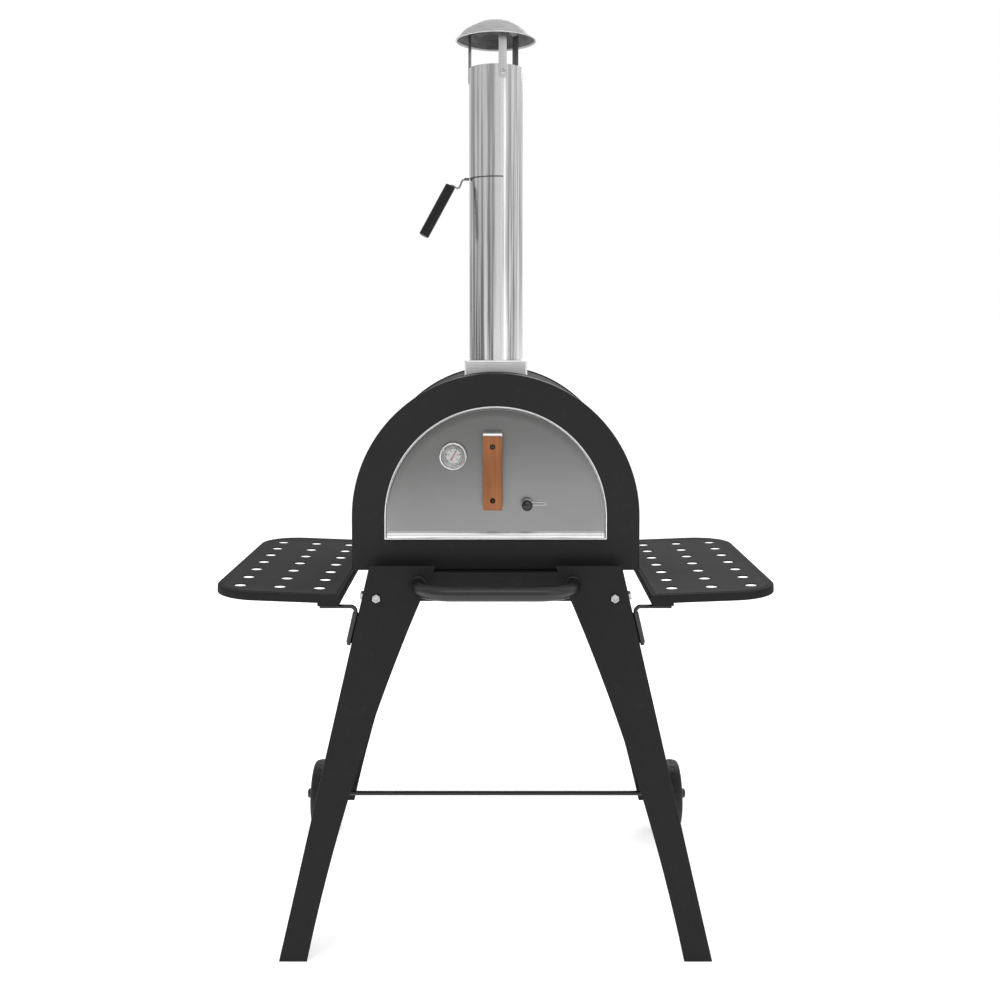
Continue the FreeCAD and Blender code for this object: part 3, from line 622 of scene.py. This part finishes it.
def doorPanel():
    look = {"edge": 2.5, "sheet": 1.2, "crown": 0.35, "lip": 6.0, "slotHalf": 15.5, "slotHigh": 0.9,
            "rounds": 12, "heartUp": 40.0}
    low, high = span("door_panel")[:2]
    radius, bottom, face = high.x, low.z, low.y + look["lip"]
    archZ = high.z - radius
    inside = look["sheet"]
    inner = archRing(radius - inside, bottom + inside, face + inside, archZ)
    rings = [inner, archRing(radius - inside, bottom + inside, high.y, archZ)]
    rings.append(archRing(radius, bottom, high.y, archZ))
    for inset, level in arcPoints((look["edge"], look["edge"]), look["edge"], 180, 270, 5):
        rings.append(archRing(radius - inset, bottom + inset, face + level, archZ))
    edgeRing = rings[-1]
    # the face rises a little towards its heart
    heart = Vector((0, face, (archZ + bottom) / 2 + look["heartUp"]))
    for k in range(1, look["rounds"]):
        shrink = 1 - k / look["rounds"]
        rise = look["crown"] * (1 - shrink ** 2)
        ring = [(heart.x + (p.x - heart.x) * shrink, heart.z + (p.z - heart.z) * shrink) for p in edgeRing]
        rings.append([Vector((x, face - rise, z)) for x, z in ring])
    vent = span("vent_knob")[2]
    slotMiddle = Vector((vent.x + look["slotHalf"], 0, vent.z))
    slotCut = [stadium(slotMiddle, look["slotHalf"], look["slotHigh"], y) for y in (face - 5, face + 5)]
    mesh = carve("doorSheet", [bridge(rings)], [bridge(slotCut)])
    makePiece("doorSheet", mesh, "door", "door_steel", "door_panel")

    # the rolled lip along the bottom: out from the face, and its height above the door's bottom edge
    profile = [
        (-1, 12.6), (0.1, 12.4), (0.9, 11.7), (2.0, 10.7), (3.6, 10.1), (5.0, 8.9), (5.8, 7.0), (6.0, 4.8),
        (5.8, 2.4), (5.0, 0.8), (3.6, 0.1), (-1, 0.1),
    ]
    ends = []
    for x in (-radius + 1.2, radius - 1.2):
        ends.append([Vector((x, face - out, bottom + up)) for out, up in profile])
    # the lip gets the brighter steel: a painted highlight along the bead
    makeSolid("doorLip", [bridge(ends)], "door", "door_steel", finish=polishAndHighlightSteel)

    # a raised rim round the vent's slot, in the brighter steel as a painted highlight
    rim = []
    for grow, proud in ((1.5, 0.1), (1.5, 0.5), (1.1, 0.9), (0.4, 0.9), (0.0, 0.5), (0.0, 0.1)):
        level = face - look["crown"] - proud
        rim.append(stadium(slotMiddle, look["slotHalf"], look["slotHigh"] + grow, level))
    makeSolid("ventSlotRim", [bridge(rim, False, True)], "door", "door_steel", finish=polishAndHighlightSteel)
    return face


def mouthTrim():
    low, high = span("door_trim")[:2]
    radius, bottom, archZ = high.x, low.z, high.z - high.x
    # how far in from the outer edge, and how far back from the front
    deep = high.y - low.y
    outline = [
        (0, deep), (0, 1.0), (0.4, 0.25), (1.25, 0), (2.1, 0.25), (2.5, 1.0), (2.5, deep - 2), (10, deep - 2),
        (10, deep),
    ]
    rings = [archRing(radius - inset, bottom + inset, low.y + back, archZ) for inset, back in outline]
    shape = bridge(rings, False, True)
    makeSolid("mouthTrim", [shape], "root", "door_steel", "door_trim", finish=polishAndHighlightSteel)


def handle():
    look = {"strapEdge": 0.5, "bend": 5.0, "sheet": 2.0, "round": 2.2, "head": 4.2, "headRise": 2.3,
            "seat": 4.7, "sunk": 3.2}
    low, high, middle = span("handle_strap")
    deep = look["sheet"] / 2
    bends = [(middle.x, high.y + 0.5, high.z - deep), (middle.x, low.y + deep, high.z - deep),
             (middle.x, low.y + deep, low.z + deep), (middle.x, high.y + 0.5, low.z + deep)]
    strip = stripSection(high.x - low.x, look["sheet"], look["strapEdge"])
    shape = sweep(bentPath(bends, look["bend"]), strip, (1, 0, 0))
    makeSolid("handleStrap", [shape], "door", "door_steel", "handle_strap", sharp=50, finish=polishAndHighlightSteel)

    low, high, middle = span("handle_grip")
    width, thick = high.x - low.x, high.y - low.y
    rings = []
    for inset, drop in arcPoints((look["round"], look["round"]), look["round"], 270, 180, 4):
        rings.append((inset, low.z + drop))
    rings += [(0, low.z + (high.z - low.z) * k / 8) for k in range(1, 8)]
    rings += [(inset, low.z + high.z - z) for inset, z in reversed(rings[:5])]
    shapes = []
    for inset, z in rings:
        section = stripSection(width - 2 * inset, thick - 2 * inset, look["round"])
        shapes.append([Vector((middle.x + a, middle.y + b, z)) for a, b in section])
    screwLow, screwHigh = span("handle_screws")[:2]
    heights = (screwLow.z + look["head"], screwHigh.z - look["head"])
    seat = spin([(0, -4), (look["seat"], -4), (look["seat"], look["sunk"]), (0, look["sunk"])], 32)
    seats = [moved(seat, facing((0, 1, 0), (middle.x, low.y, z))) for z in heights]
    makePiece("gripWood", carve("gripWood", [bridge(shapes)], seats), "door", "grip_wood", "handle_grip")
    dome = domeHead(look["head"], look["headRise"])
    for k, z in enumerate(heights):
        place = facing((0, -1, 0), (middle.x, low.y + 3.0, z))
        head = carve("gripScrew", [dome], crossRecess(2.4, 0.95, 0.9, 3.0))
        head.transform(inMetres(place))
        makePiece("gripScrew%d" % (k + 1), head, "door", "dark_screw", *["handle_screws"][k:])


def thermometer():
    # heights are above the door's face, and angles clockwise from the top
    look = {"ticks": 26, "major": 5, "start": -130.0, "end": 130.0, "ring": 13.7, "line": 0.35,
            "numberSize": 2.8, "numbersAt": 8.6, "pointer": 30.0, "dialRadius": 15.1, "dialLow": 2.0,
            "dialHigh": 2.8, "inkLow": 2.75, "inkHigh": 2.9, "needleLow": 4.4}
    low, high, middle = span("thermometer_case")
    radius = high.x - middle.x
    place = facing((0, -1, 0), (middle.x, high.y, middle.z))
    depth = high.y - low.y
    # bezel rolled over at the rim, then a cone down to the dial
    bezel = [
        (3.05, 0), (radius - 1.5, 0), (radius, 1.8), (radius, depth - 2.2), (radius - 0.7, depth - 0.6),
        (radius - 2.0, depth), (radius - 3.2, depth - 0.6), (radius - 3.6, depth - 1.9),
        (radius - 3.4, depth - 4), (15.2, 3.6), (15.2, 1.8), (3.05, 1.8),
    ]
    shape = moved(spin(softened(bezel, 0.5, 3), 96), place)
    makeSolid("gaugeBezel", [shape], "door", "gauge_steel", "thermometer_case", sharp=50)
    edge, under, over = look["dialRadius"], look["dialLow"], look["dialHigh"]
    dial = spin([(0, under), (edge, under), (edge, over), (0, over)], 64)
    makeSolid("gaugeDial", [moved(dial, place)], "door", "dial", "thermometer_dial")
    pane = [(0, depth - 3.6), (20.5, depth - 3.6), (20.5, depth - 2.9), (15, depth - 2.5), (8, depth - 2.2),
            (0, depth - 2.1)]
    makeSolid("gaugeGlass", [moved(spin(pane, 64), place)], "door", "glass", "thermometer_glass")

    ring, half = look["ring"], look["line"]
    base, proud = look["inkLow"], look["inkHigh"]
    top = proud + 0.05
    line = [(ring - half, base), (ring + half, base), (ring + half, top), (ring - half, top)]
    marks = [spin(line, 96)]
    sweepTurn = look["end"] - look["start"]
    for k in range(look["ticks"]):
        turn = look["start"] + sweepTurn * k / (look["ticks"] - 1)
        inner, half = (10.6, 0.5) if k % look["major"] == 0 else (11.8, 0.28)
        bar = ((-half, inner), (half, inner), (half, ring), (-half, ring))
        shape = bridge([[Vector((x, y, z)) for x, y in bar] for z in (base, proud)])
        marks.append(moved(shape, Matrix.Rotation(math.radians(-turn), 4, "Z")))
    makeSolid("gaugeMarks", [moved(mark, place) for mark in marks], "door", "dial", finish=dialInk)

    for k in range(0, look["ticks"], look["major"]):
        turn = math.radians(look["start"] + sweepTurn * k / (look["ticks"] - 1))
        text = bpy.data.curves.new("gaugeNumber", "FONT")
        text.body = str(k // look["major"] * 100)
        text.size = look["numberSize"] * mm
        text.align_x = text.align_y = "CENTER"
        text.extrude = 0.05 * mm
        mesh = settled(linked("numberBlank", text))
        at = Vector((math.sin(turn), math.cos(turn), 0)) * look["numbersAt"] + Vector((0, 0, 2.85))
        mesh.transform(Matrix.Translation(place @ at * mm) @ place.to_3x3().to_4x4())
        makePiece("gaugeNumber%d" % (k // look["major"]), mesh, "door", "dial", finish=dialInk)

    turn = Matrix.Rotation(math.radians(-look["pointer"]), 4, "Z")
    level = look["needleLow"]
    blade = [(-1.2, -8.5), (1.2, -8.5), (1.15, 5.5), (0.3, 11), (-0.3, 11), (-1.15, 5.5)]
    pointer = bridge([[Vector((x, y, z)) for x, y in blade] for z in (level, 4.9)])
    makeSolid("needlePointer", [moved(pointer, place @ turn)], "needle", "needle_red", "thermometer_needle")
    strip = ((-0.3, -13), (0.3, -13), (0.3, -7), (-0.3, -7))
    tail = bridge([[Vector((x, y, z)) for x, y in strip] for z in (level, 4.8)])
    hub = spin([(0, 3.4), (1.5, 3.4), (1.5, 5.2), (1.1, 5.6), (0, 5.7)], 32)
    shapes = [moved(tail, place @ turn), moved(hub, place)]
    makeSolid("needleTail", shapes, "needle", "needle_red", finish=finishes["zinc"])


def ventControl(doorFace):
    look = {"parting": 3, "partingDeep": 0.25, "neck": 4.0, "stem": 0.8, "washer": 9.2, "washerHole": 2.2}
    low, high, middle = span("vent_knob")
    radius = high.x - middle.x
    place = facing((0, -1, 0), (middle.x, high.y, middle.z))
    centre = high.y - low.y - radius
    # a ball on a short neck, with a fine parting line round its widest part
    ball = arcPoints((0, centre), radius, -62, -look["parting"], 12)
    ball.append((radius - look["partingDeep"], centre))
    ball += arcPoints((0, centre), radius, look["parting"], 90, 14)
    knob = [(0, 0), (look["neck"], 0), (4.2, 1.5)] + ball[:-1] + [(0, centre + radius)]
    makeSolid("ventKnob", [moved(spin(knob, 64), place)], "vent", "knob_black", "vent_knob")
    # thin where it passes the sheet, so that it clears the narrow slot
    stem, hole, edge = look["stem"], look["washerHole"], look["washer"]
    back = facing((0, -1, 0), (middle.x, doorFace - 1.5, middle.z))
    washer = spin(softened([(hole, 0), (edge, 0), (edge, 1.2), (hole, 1.2)], 0.4, 3), 48)
    sleeve = spin([(0, -9), (stem, -9), (stem, 0.1), (4.2, 1.2), (4.2, 4.5), (3.0, 5.2), (0, 5.2)], 32)
    reach = spin([(0, 5), (2.4, 5), (2.4, 12), (0, 12)], 24)
    shapes = [moved(shape, back) for shape in (washer, sleeve, reach)]
    makeSolid("ventStem", shapes, "vent", "zinc", "vent_stem")


# chimney

def chimneyPipe():
    # each wave: how many round the tube, how deep, and where it starts
    look = {"columns": 480, "wall": 1.0, "turn": 285.0, "slit": 1.2, "slack": 0.12,
            "waves": ((9, 0.05, 0.7), (31, 0.032, 2.1), (67, 0.02, 0.3))}
    low, high, middle = span("chimney_pipe")
    radius = high.x - middle.x - look["slack"]
    plate = span("damper_plate")[2]
    slit = (plate.z - look["slit"], plate.z + look["slit"])
    levels = [low.z, low.z + 20, plate.z - 120, slit[0], slit[1], plate.z + 100, high.z - 1.2, high.z - 0.3]
    columns = look["columns"]
    turns = [2 * math.pi * k / columns for k in range(columns)]
    points = []
    for z in levels:
        for t in turns:
            ripple = sum(size * math.sin(count * t + shift) for count, size, shift in look["waves"])
            outward = Vector((math.cos(t), math.sin(t), 0))
            points.append(outward * (radius + ripple) + Vector((middle.x, middle.y, z)))
    # no faces along the slit that the damper's plate slides through, half way round the tube
    slitMiddle = math.radians(look["turn"] - 90)
    faces = []
    for r in range(len(levels) - 1):
        for k in range(columns):
            away = (turns[k] + math.pi / columns - slitMiddle + math.pi) % (2 * math.pi) - math.pi
            if levels[r] == slit[0] and abs(away) < math.pi / 2:
                continue
            beside = (k + 1) % columns
            here, above = r * columns, (r + 1) * columns
            faces.append((here + k, here + beside, above + beside, above + k))
    mesh = thickened("chimneyTube", makeMesh("tubeSkin", [(points, faces)]), look["wall"])
    makePiece("chimneyTube", mesh, "root", "flue_steel", "chimney_pipe")


def rainCap():
    look = {"sheet": 1.2, "bead": 1.5, "rim": 74.0, "dome": 88.0, "shadeFilmOut": 0.05, "shadeFilmIn": 0.35}
    low, high, middle = span("rain_cap")
    apex = high.z
    centre = apex - look["dome"]
    lean = math.degrees(math.acos(look["rim"] / look["dome"]))
    outer = arcPoints((0, centre), look["dome"], 90, lean + 1.2, 28)
    rimZ = low.z + look["bead"]
    bead = arcPoints((look["rim"] - 0.4, rimZ), look["bead"], 60, -190, 12)
    inner = arcPoints((0, centre), look["dome"] - look["sheet"], lean + 1.2, 90, 24)
    profile = [(0, apex)] + outer[1:] + bead + inner[:-1] + [(0, apex - look["sheet"])]
    place = Matrix.Translation(Vector((middle.x, middle.y, 0)))
    makeSolid("rainHood", [moved(spin(profile, 96), place)], "root", "cap_steel", "rain_cap", sharp=40)
    # a dark film on its underside: painted shade
    under = look["dome"] - look["sheet"]
    film = arcPoints((0, centre), under - look["shadeFilmIn"], lean + 2.0, 90, 24)[:-1]
    film += [(0, centre + under - look["shadeFilmIn"]), (0, centre + under - look["shadeFilmOut"])]
    film += arcPoints((0, centre), under - look["shadeFilmOut"], 90, lean + 2.0, 24)[1:]
    # the film's dark steel is painted shade under the hood
    underShadeSteel = brushedSteel("underShadeSteel", dark=0.07, light=0.15, rough=0.5, brush=hoodBrush)
    coat = moved(spin(film, 96, False), place)
    makeSolid("hoodShade", [coat], "root", "cap_steel", sharp=40, finish=underShadeSteel)


def capStraps():
    look = {"turns": (14, 134, 254), "width": 15.0, "sheet": 1.5, "foot": 1527.0, "shoulder": 1625.0,
            "tip": 1634.3, "tipOut": 36.5, "screwZ": 1538.0, "bend": 4.0}
    pipeHigh, pipe = span("chimney_pipe")[1:]
    out = pipeHigh.x - pipe.x + 0.1 + look["sheet"] / 2
    corners = [(0, -out, look["foot"]), (0, -out, look["shoulder"] - 1)]
    corners.append((0, -look["tipOut"], look["tip"] - 0.9))
    path = bentPath(corners, look["bend"], 6)
    path = [path[0] + Vector((0, 0, d)) for d in (0, 0.5, 1.4, 3.0)] + path[1:]

    def section(share):
        narrow = max(0.0, 1 - share * len(path) / 3) * 2.4
        return stripSection(look["width"] - 2 * narrow, look["sheet"], 0.4)

    strap = sweep(path, section, (1, 0, 0))
    grain = {"brush": (700, 700, 8), "vary": 0.05, "depth": 0.03}
    strapSteel = brushedSteel("strapSteel", dark=0.5, light=0.6, rough=0.38, **grain)
    # painted shade: a darker copy of the strap steel for the two rear straps
    shadedStrap = brushedSteel("shadedStrap", dark=0.16, light=0.24, rough=0.45, **grain)
    head = carve("capScrew", [domeHead(4.8, 2.5)], crossRecess(2.7, 1.0, 1.0, 3.2))
    for k, turn in enumerate(look["turns"]):
        about = Matrix.Translation(Vector((pipe.x, pipe.y, 0))) @ Matrix.Rotation(math.radians(turn), 4, "Z")
        # the front strap keeps the plain steel and the two rear ones a darker copy as painted shade, and the
        # first of each stands in for the CAD node
        steel = shadedStrap if k else strapSteel
        mesh = makeMesh("capStrap", [moved(strap, about)], 45)
        makePiece("capStrap%d" % (k + 1), mesh, "root", "cap_steel", *["cap_straps"][k:], finish=steel)
        seat = about @ facing((0, -1, 0), (0, -out - look["sheet"] / 2, look["screwZ"]))
        screw = head.copy()
        screw.transform(inMetres(seat))
        makePiece("capScrew%d" % (k + 1), screw, "root", "zinc", *["cap_screws"][k:])


def damperPull():
    # pairs are the distance out from the pipe's axis, and the height
    look = {"turn": 285.0, "wire": 1.75, "bend": 4.0, "grip": 9.5, "head": (87.0, 1334.0),
            "tail": (137.7, 1241.5), "dip": (71.3, 1328.8), "start": 52.0, "knee": 64.0}
    plateLow = span("damper_plate")[0]
    pipe = span("chimney_pipe")[2]
    turn = math.radians(look["turn"])

    def place(out, z):
        return Vector((pipe.x + math.sin(turn) * out, pipe.y - math.cos(turn) * out, z))

    wireZ = plateLow.z - look["wire"]
    head, tail = place(*look["head"]), place(*look["tail"])
    down = (tail - head).normalized()
    route = [place(look["start"], wireZ), place(look["knee"], wireZ), place(*look["dip"]), head - down * 3,
             head + down * 18]
    wire = sweep(bentPath(route, look["bend"], 6), roundSection(look["wire"], 20))
    collar = spin(softened([(2.0, -1.2), (4.4, -1.2), (4.4, -0.1), (2.0, -0.1)], 0.3, 3), 32)
    turned = facing(down, head)
    wireSteel = brushedSteel("wireSteel", dark=0.2, light=0.3, rough=0.42, vary=0.1, brush=fineBrush)
    shapes = [wire, moved(collar, turned)]
    makeSolid("damperWire", shapes, "damper", "zinc", "damper_wire", finish=wireSteel)
    length = (tail - head).length
    r = look["grip"]
    bore = look["wire"]
    outline = [(bore, 0), (r - 0.6, 0), (r, 1.0)]
    # a shallow groove near each end
    for groove in (0.06, 0.94):
        at = length * groove
        outline += [(r, at - 1.2), (r - 0.35, at), (r, at + 1.2)]
    outline += [(r, length - 1.6), (r - 1.4, length), (bore, length), (bore, length - 6)]
    grip = spin(softened(outline, 0.5, 3), 64)
    plug = spin([(0, length - 7), (bore, length - 7), (bore, length - 1), (0, length - 1)], 24)
    shapes = [moved(grip, turned), moved(plug, turned)]
    makeSolid("damperGrip", shapes, "damper", "grip_black", "damper_grip")


# stand

def legBolts():
    look = {"flats": 13.0, "head": 5.3, "z": 612.0, "frontX": 203.0, "sideIn": 20.0, "half": 215.4,
            "top": 667.0, "sideSlope": 0.2273, "frontSlope": 0.0594, "shank": 4.0, "stack": 6.5}
    tray = span("base_tray")[2]
    legs = span("leg_front_right")
    drop = look["top"] - look["z"]
    frontY = legs[0].y + look["frontSlope"] * look["z"]
    sideX = look["half"] + look["sideSlope"] * drop
    topY = legs[0].y + look["frontSlope"] * look["top"]
    head = hexHead(look["flats"], look["head"])
    shank, tip = look["shank"], -look["stack"] - 9
    shank = spin([(0, tip), (shank - 0.8, tip), (shank, tip + 1), (shank, 0.2), (0, 0.2)], 24)
    shapes = []
    for side in (1, -1):
        for end in (1, -1):
            seats = [
                ((side * look["frontX"], frontY, look["z"]), (0, -end, look["frontSlope"])),
                ((side * sideX, topY + look["sideIn"], look["z"]), (side, 0, look["sideSlope"])),
            ]
            for (x, y, z), out in seats:
                if end < 0:
                    y = 2 * tray.y - y
                for shape in (head, shank):
                    shapes.append(moved(shape, facing(out, (x, y, z))))
    makeSolid("standBolts", shapes, "root", "zinc", "leg_bolts", sharp=30)


def handleBar():
    look = {"bend": 62.0, "seatOut": 0.6, "weld": 2.2}
    low, high, middle = span("handle_bar")
    radius = (high.z - low.z) / 2
    endX, front = high.x - radius, low.y + radius
    seat = high.y
    path = [
        (-endX, seat, middle.z), (-endX, front, middle.z), (endX, front, middle.z), (endX, seat, middle.z),
    ]
    bar = sweep(bentPath(path, look["bend"], 20), roundSection(radius, 40))
    shapes = [bar]
    # a small weld bead where each end meets the leg
    weld = look["weld"]
    bead = [
        (radius - 0.5, 0), (radius + weld, 0), (radius + weld * 0.5, 1.2), (radius - 0.2, 2.6),
        (radius - 0.5, 2.6),
    ]
    for side in (-1, 1):
        foot = facing((0, -1, 0), (side * endX, seat - look["seatOut"], middle.z))
        shapes.append(moved(spin(softened(bead, 0.5, 3), 48), foot))
    makeSolid("pullBar", shapes, "root", "rod_black", "handle_bar", sharp=40)


def shelfRing(inset, level, look, rearRise=0.0):
    # square at the oven, large rounded corners at the outer end; level is the height over the top
    corner = look["corner"] - inset
    right, rear = look["width"] - inset, look["length"] - inset
    front = arcPoints((right - corner, inset + corner), corner, -90, 0, 16)
    back = arcPoints((right - corner, rear - corner), corner, 0, 90, 16)
    ring = [(inset, inset)] + front + back + [(inset, rear)]
    points = []
    for x, y in ring:
        share = max(0.0, min(1.0, (y - (look["length"] - look["corner"])) / (look["corner"] - 10)))
        points.append(Vector((x, y, level + rearRise * share)))
    return points


def shelves():
    # rear is how much shallower the skirt is along the back
    look = {"width": 223.0, "corner": 78.0, "deep": 14.0, "sheet": 2.0, "edge": 3.0, "tilt": 2.2,
            "hole": 10.5, "rear": 6.5, "inner": 262.0, "top": 621.0, "firstRow": 54.0, "rowStep": 66.9,
            "rows": 7, "columns": (43.0, 111.5, 180.0)}
    low, high = span("shelf_right")[:2]
    look["length"] = high.y - low.y
    sheet, deep, hole = look["sheet"], look["deep"], look["hole"]
    # each pair is how far in from the edge, and how high over the top
    under = [(11, -sheet), (6, -sheet), (3, -2.8), (2.1, -5)]
    skirt = [(2, -deep + 0.3), (1.6, -deep), (0.4, -deep), (0, -deep + 0.4)]
    over = arcPoints((look["edge"], -look["edge"]), look["edge"], 180, 90, 5)
    # the pressed bead a little way in from the edge
    over += [(6.4, 0), (7.2, 0.25), (8.1, 0.85), (9.0, 1.0), (9.9, 0.85), (10.8, 0.25), (11.6, 0)]
    rings = [shelfRing(inset, level, look) for inset, level in under]
    rings += [shelfRing(inset, level, look, look["rear"]) for inset, level in skirt]
    rings += [shelfRing(inset, level, look) for inset, level in over]
    punch = spin([(0, -9), (hole, -9), (hole, -0.5), (hole + 0.6, 0.1), (hole + 0.6, 4), (0, 4)], 32)
    punches = []
    for x in look["columns"]:
        for row in range(look["rows"]):
            y = look["firstRow"] + look["rowStep"] * row
            punches.append(moved(punch, Matrix.Translation(Vector((x, y, 0)))))
    pan = carve("shelfPan", [bridge(rings)], punches, 30)
    for side, name in ((1, "right"), (-1, "left")):
        place = Matrix.Scale(side, 4, Vector((1, 0, 0)))
        place = place @ Matrix.Translation(Vector((look["inner"], low.y, look["top"])) * mm)
        place = place @ Matrix.Rotation(math.radians(-look["tilt"]), 4, "Y")
        mesh = pan.copy()
        mesh.transform(place)
        if side < 0:
            mesh.flip_normals()
        makePiece("shelf" + name.capitalize(), mesh, "shelf_" + name, "shelf_black", "shelf_" + name)


def wheels():
    look = {"half": 16.5, "blocks": 27, "ribs": 6, "bush": 8.0}
    # from the hub's bore out over one side to the tread: radius, and distance from the wheel's middle
    half = look["half"]
    halfSide = [
        (look["bush"], half), (17.0, half), (18.5, 14.5), (19.5, 7.0), (53.0, 7.0), (55.0, 12.0),
        (58.5, 15.2), (62.5, 15.6), (66.0, 13.6), (68.4, 10.0), (69.0, 6.0),
    ]
    outline = halfSide + [(r, -h) for r, h in reversed(halfSide)]
    tyre = spin(softened(outline, 1.2, 3), 96)
    blocks = []
    for k in range(look["blocks"]):
        turn = 2 * math.pi * k / look["blocks"]
        rings = []
        for radius, size in ((68.6, 1.0), (69.9, 0.72)):
            ring = []
            for across, along in ((-6.4, 0), (0, -0.098), (6.4, 0), (0, 0.098)):
                t = turn + along * size
                ring.append(Vector((radius * math.cos(t), radius * math.sin(t), across * size)))
            rings.append(ring)
        blocks.append(bridge(rings))
    ribs = []
    for k in range(look["ribs"]):
        turn = Matrix.Rotation(2 * math.pi * k / look["ribs"], 4, "Z")
        rings = []
        for r, h, wide in ((16.0, 14.5, 6.5), (26.0, 13.6, 5.0), (44.0, 12.4, 5.0), (56.5, 12.0, 7.0)):
            section = stripSection(wide, 2 * h, 1.2)
            rings.append([Vector((r, a, b)) for a, b in section])
        ribs.append(moved(bridge(rings), turn))
    cap = [(0, 0), (9.2, 0), (10, 0.8), (10, 8.0), (9.4, 10.4), (7.0, 12.0), (3.5, 12.4), (0, 12.5)]
    for side, name in ((1, "right"), (-1, "left")):
        middle = span("wheel_" + name)[2]
        place = facing((side, 0, 0), middle)
        mesh = makeMesh("wheelTyre", [moved(shape, place) for shape in [tyre] + blocks + ribs], 40)
        makePiece("wheel" + name.capitalize(), mesh, "wheel_" + name, "wheel_black", "wheel_" + name)
        seat = middle.x + side * (look["half"] + 1.5)
        shape = moved(spin(cap, 48), facing((side, 0, 0), (seat, middle.y, middle.z)))
        replaced = ["axle_caps"] if side > 0 else []
        mesh = makeMesh("axleCap", [shape], 50)
        makePiece("axleCap" + name.capitalize(), mesh, "root", "knob_black", *replaced)


# a brighter copy of the door's steel: the trim ring's own polish, and a painted highlight on the door's
# bottom lip and the slot's rim; the handle's strap shares it
polishAndHighlightSteel = brushedSteel("polishAndHighlightTrim", dark=0.8, light=0.92, rough=0.3, vary=0.08, brush=(4, 600, 600))
doorFace = doorPanel()
mouthTrim()
handle()
thermometer()
ventControl(doorFace)
print("door")
chimneyPipe()
rainCap()
capStraps()
damperPull()
# two CAD nodes whose own finish differs from their slot's
baseSteel = brushedSteel("baseSteel", dark=0.8, light=0.92, rough=0.42, vary=0.08, brush=(5, 400, 400))
nodes["chimney_base"].data.materials[0] = baseSteel
shellCoat = powderCoat("shellCoat", dark=0.012, light=0.017, rough=0.66, gloss=0.07)
nodes["outer_shell"].data.materials[0] = shellCoat
print("chimney")
legBolts()
handleBar()
shelves()
wheels()
print("stand and wheels")


# studio

def studio():
    look = {"floorReach": 30.0, "seen": 1.0, "strength": 1.0, "glow": 0.5, "level": 0.65, "right": 0.1,
            "up": 0.14, "back": 0.06}
    for old in list(bpy.data.worlds):
        bpy.data.worlds.remove(old)
    world = bpy.data.worlds.new("studioAir")
    scene.world = world
    air = Graph(world)
    where = air.add("ShaderNodeTexCoord", output="Generated")
    axes = air.add("ShaderNodeSeparateXYZ", {}, {0: where}).socket.node.outputs
    right, behind, above = [Wire(air, axis) for axis in axes]
    # brighter to the right, overhead and behind; the camera itself sees plain white
    level = right.maths("MULTIPLY_ADD", right, look["right"], look["level"])
    level = above.maths("MULTIPLY_ADD", above, look["up"], level)
    level = behind.maths("MULTIPLY_ADD", behind, look["back"], level)
    lit = air.add("ShaderNodeBackground", {}, {0: level, 1: look["strength"]})
    seen = air.add("ShaderNodeBackground", {}, {0: tint(look["seen"]), 1: 1.0})
    camera = air.add("ShaderNodeLightPath", output="Is Camera Ray")
    both = air.add("ShaderNodeMixShader", {}, {0: camera, 1: lit, 2: seen})
    air.feed(air.tree.nodes.new("ShaderNodeOutputWorld").inputs[0], both)

    reach = look["floorReach"]
    corners = [(-reach, -reach, 0), (reach, -reach, 0), (reach, reach, 0), (-reach, reach, 0)]
    mesh = bpy.data.meshes.new("studioFloor")
    mesh.from_pydata([Vector(c) for c in corners], [], [(0, 1, 2, 3)])
    floor = linked("studioFloor", mesh)
    paint = Paint("paleFloor", {"Specular IOR Level": 0.0, "Emission Strength": look["glow"]})
    tone = paint.mixColour(paint.noise(3, 4), 0.88, 0.91)
    rough = 0.9 + paint.noise(40) * 0.05
    mesh.materials.append(paint.finish(colour=tone, glow=tone, roughness=rough))


def softLight(name, place, target, size, watts, mirrored=True, diffuse=True):
    data = bpy.data.lights.new(name, "AREA")
    data.shape = "RECTANGLE"
    data.size, data.size_y = size
    data.energy = watts
    lamp = linked(name, data)
    lamp.location = place
    lamp.rotation_euler = (Vector(target) - Vector(place)).to_track_quat("-Z", "Y").to_euler()
    lamp.visible_camera = False
    lamp.visible_glossy = mirrored
    lamp.visible_diffuse = diffuse


def viewpoint():
    # in front of the door and above it, tipped down by two and a half degrees
    look = {"back": 2.194, "side": 0.0075, "height": 1.0686, "focal": 41.63, "shift": -0.12, "tip": 2.485}
    data = bpy.data.cameras.new("frontCamera")
    data.lens = look["focal"]
    data.sensor_width = 36
    data.shift_y = look["shift"]
    data.clip_end = 100
    camera = linked("frontCamera", data)
    camera.location = (look["side"], -look["back"], look["height"])
    camera.rotation_euler = (math.radians(90 - look["tip"]), 0, 0)
    scene.camera = camera


studio()
softLight("keyLight", (-2.2, -2.6, 3.4), (0, 0, 0.8), (2.0, 2.0), 80, False)
softLight("tallLight", (2.3, -2.4, 1.7), (0, 0, 1.0), (1.1, 2.6), 6)
softLight("canopyLight", (0, -1.7, 3.1), (0, 0, 0.8), (2.8, 0.8), 12, True, False)
softLight("rimLight", (0.6, 3.0, 3.0), (0, 0, 1.0), (2.5, 1.5), 60)
viewpoint()
scene.view_settings.view_transform = "Standard"
print("studio and camera")
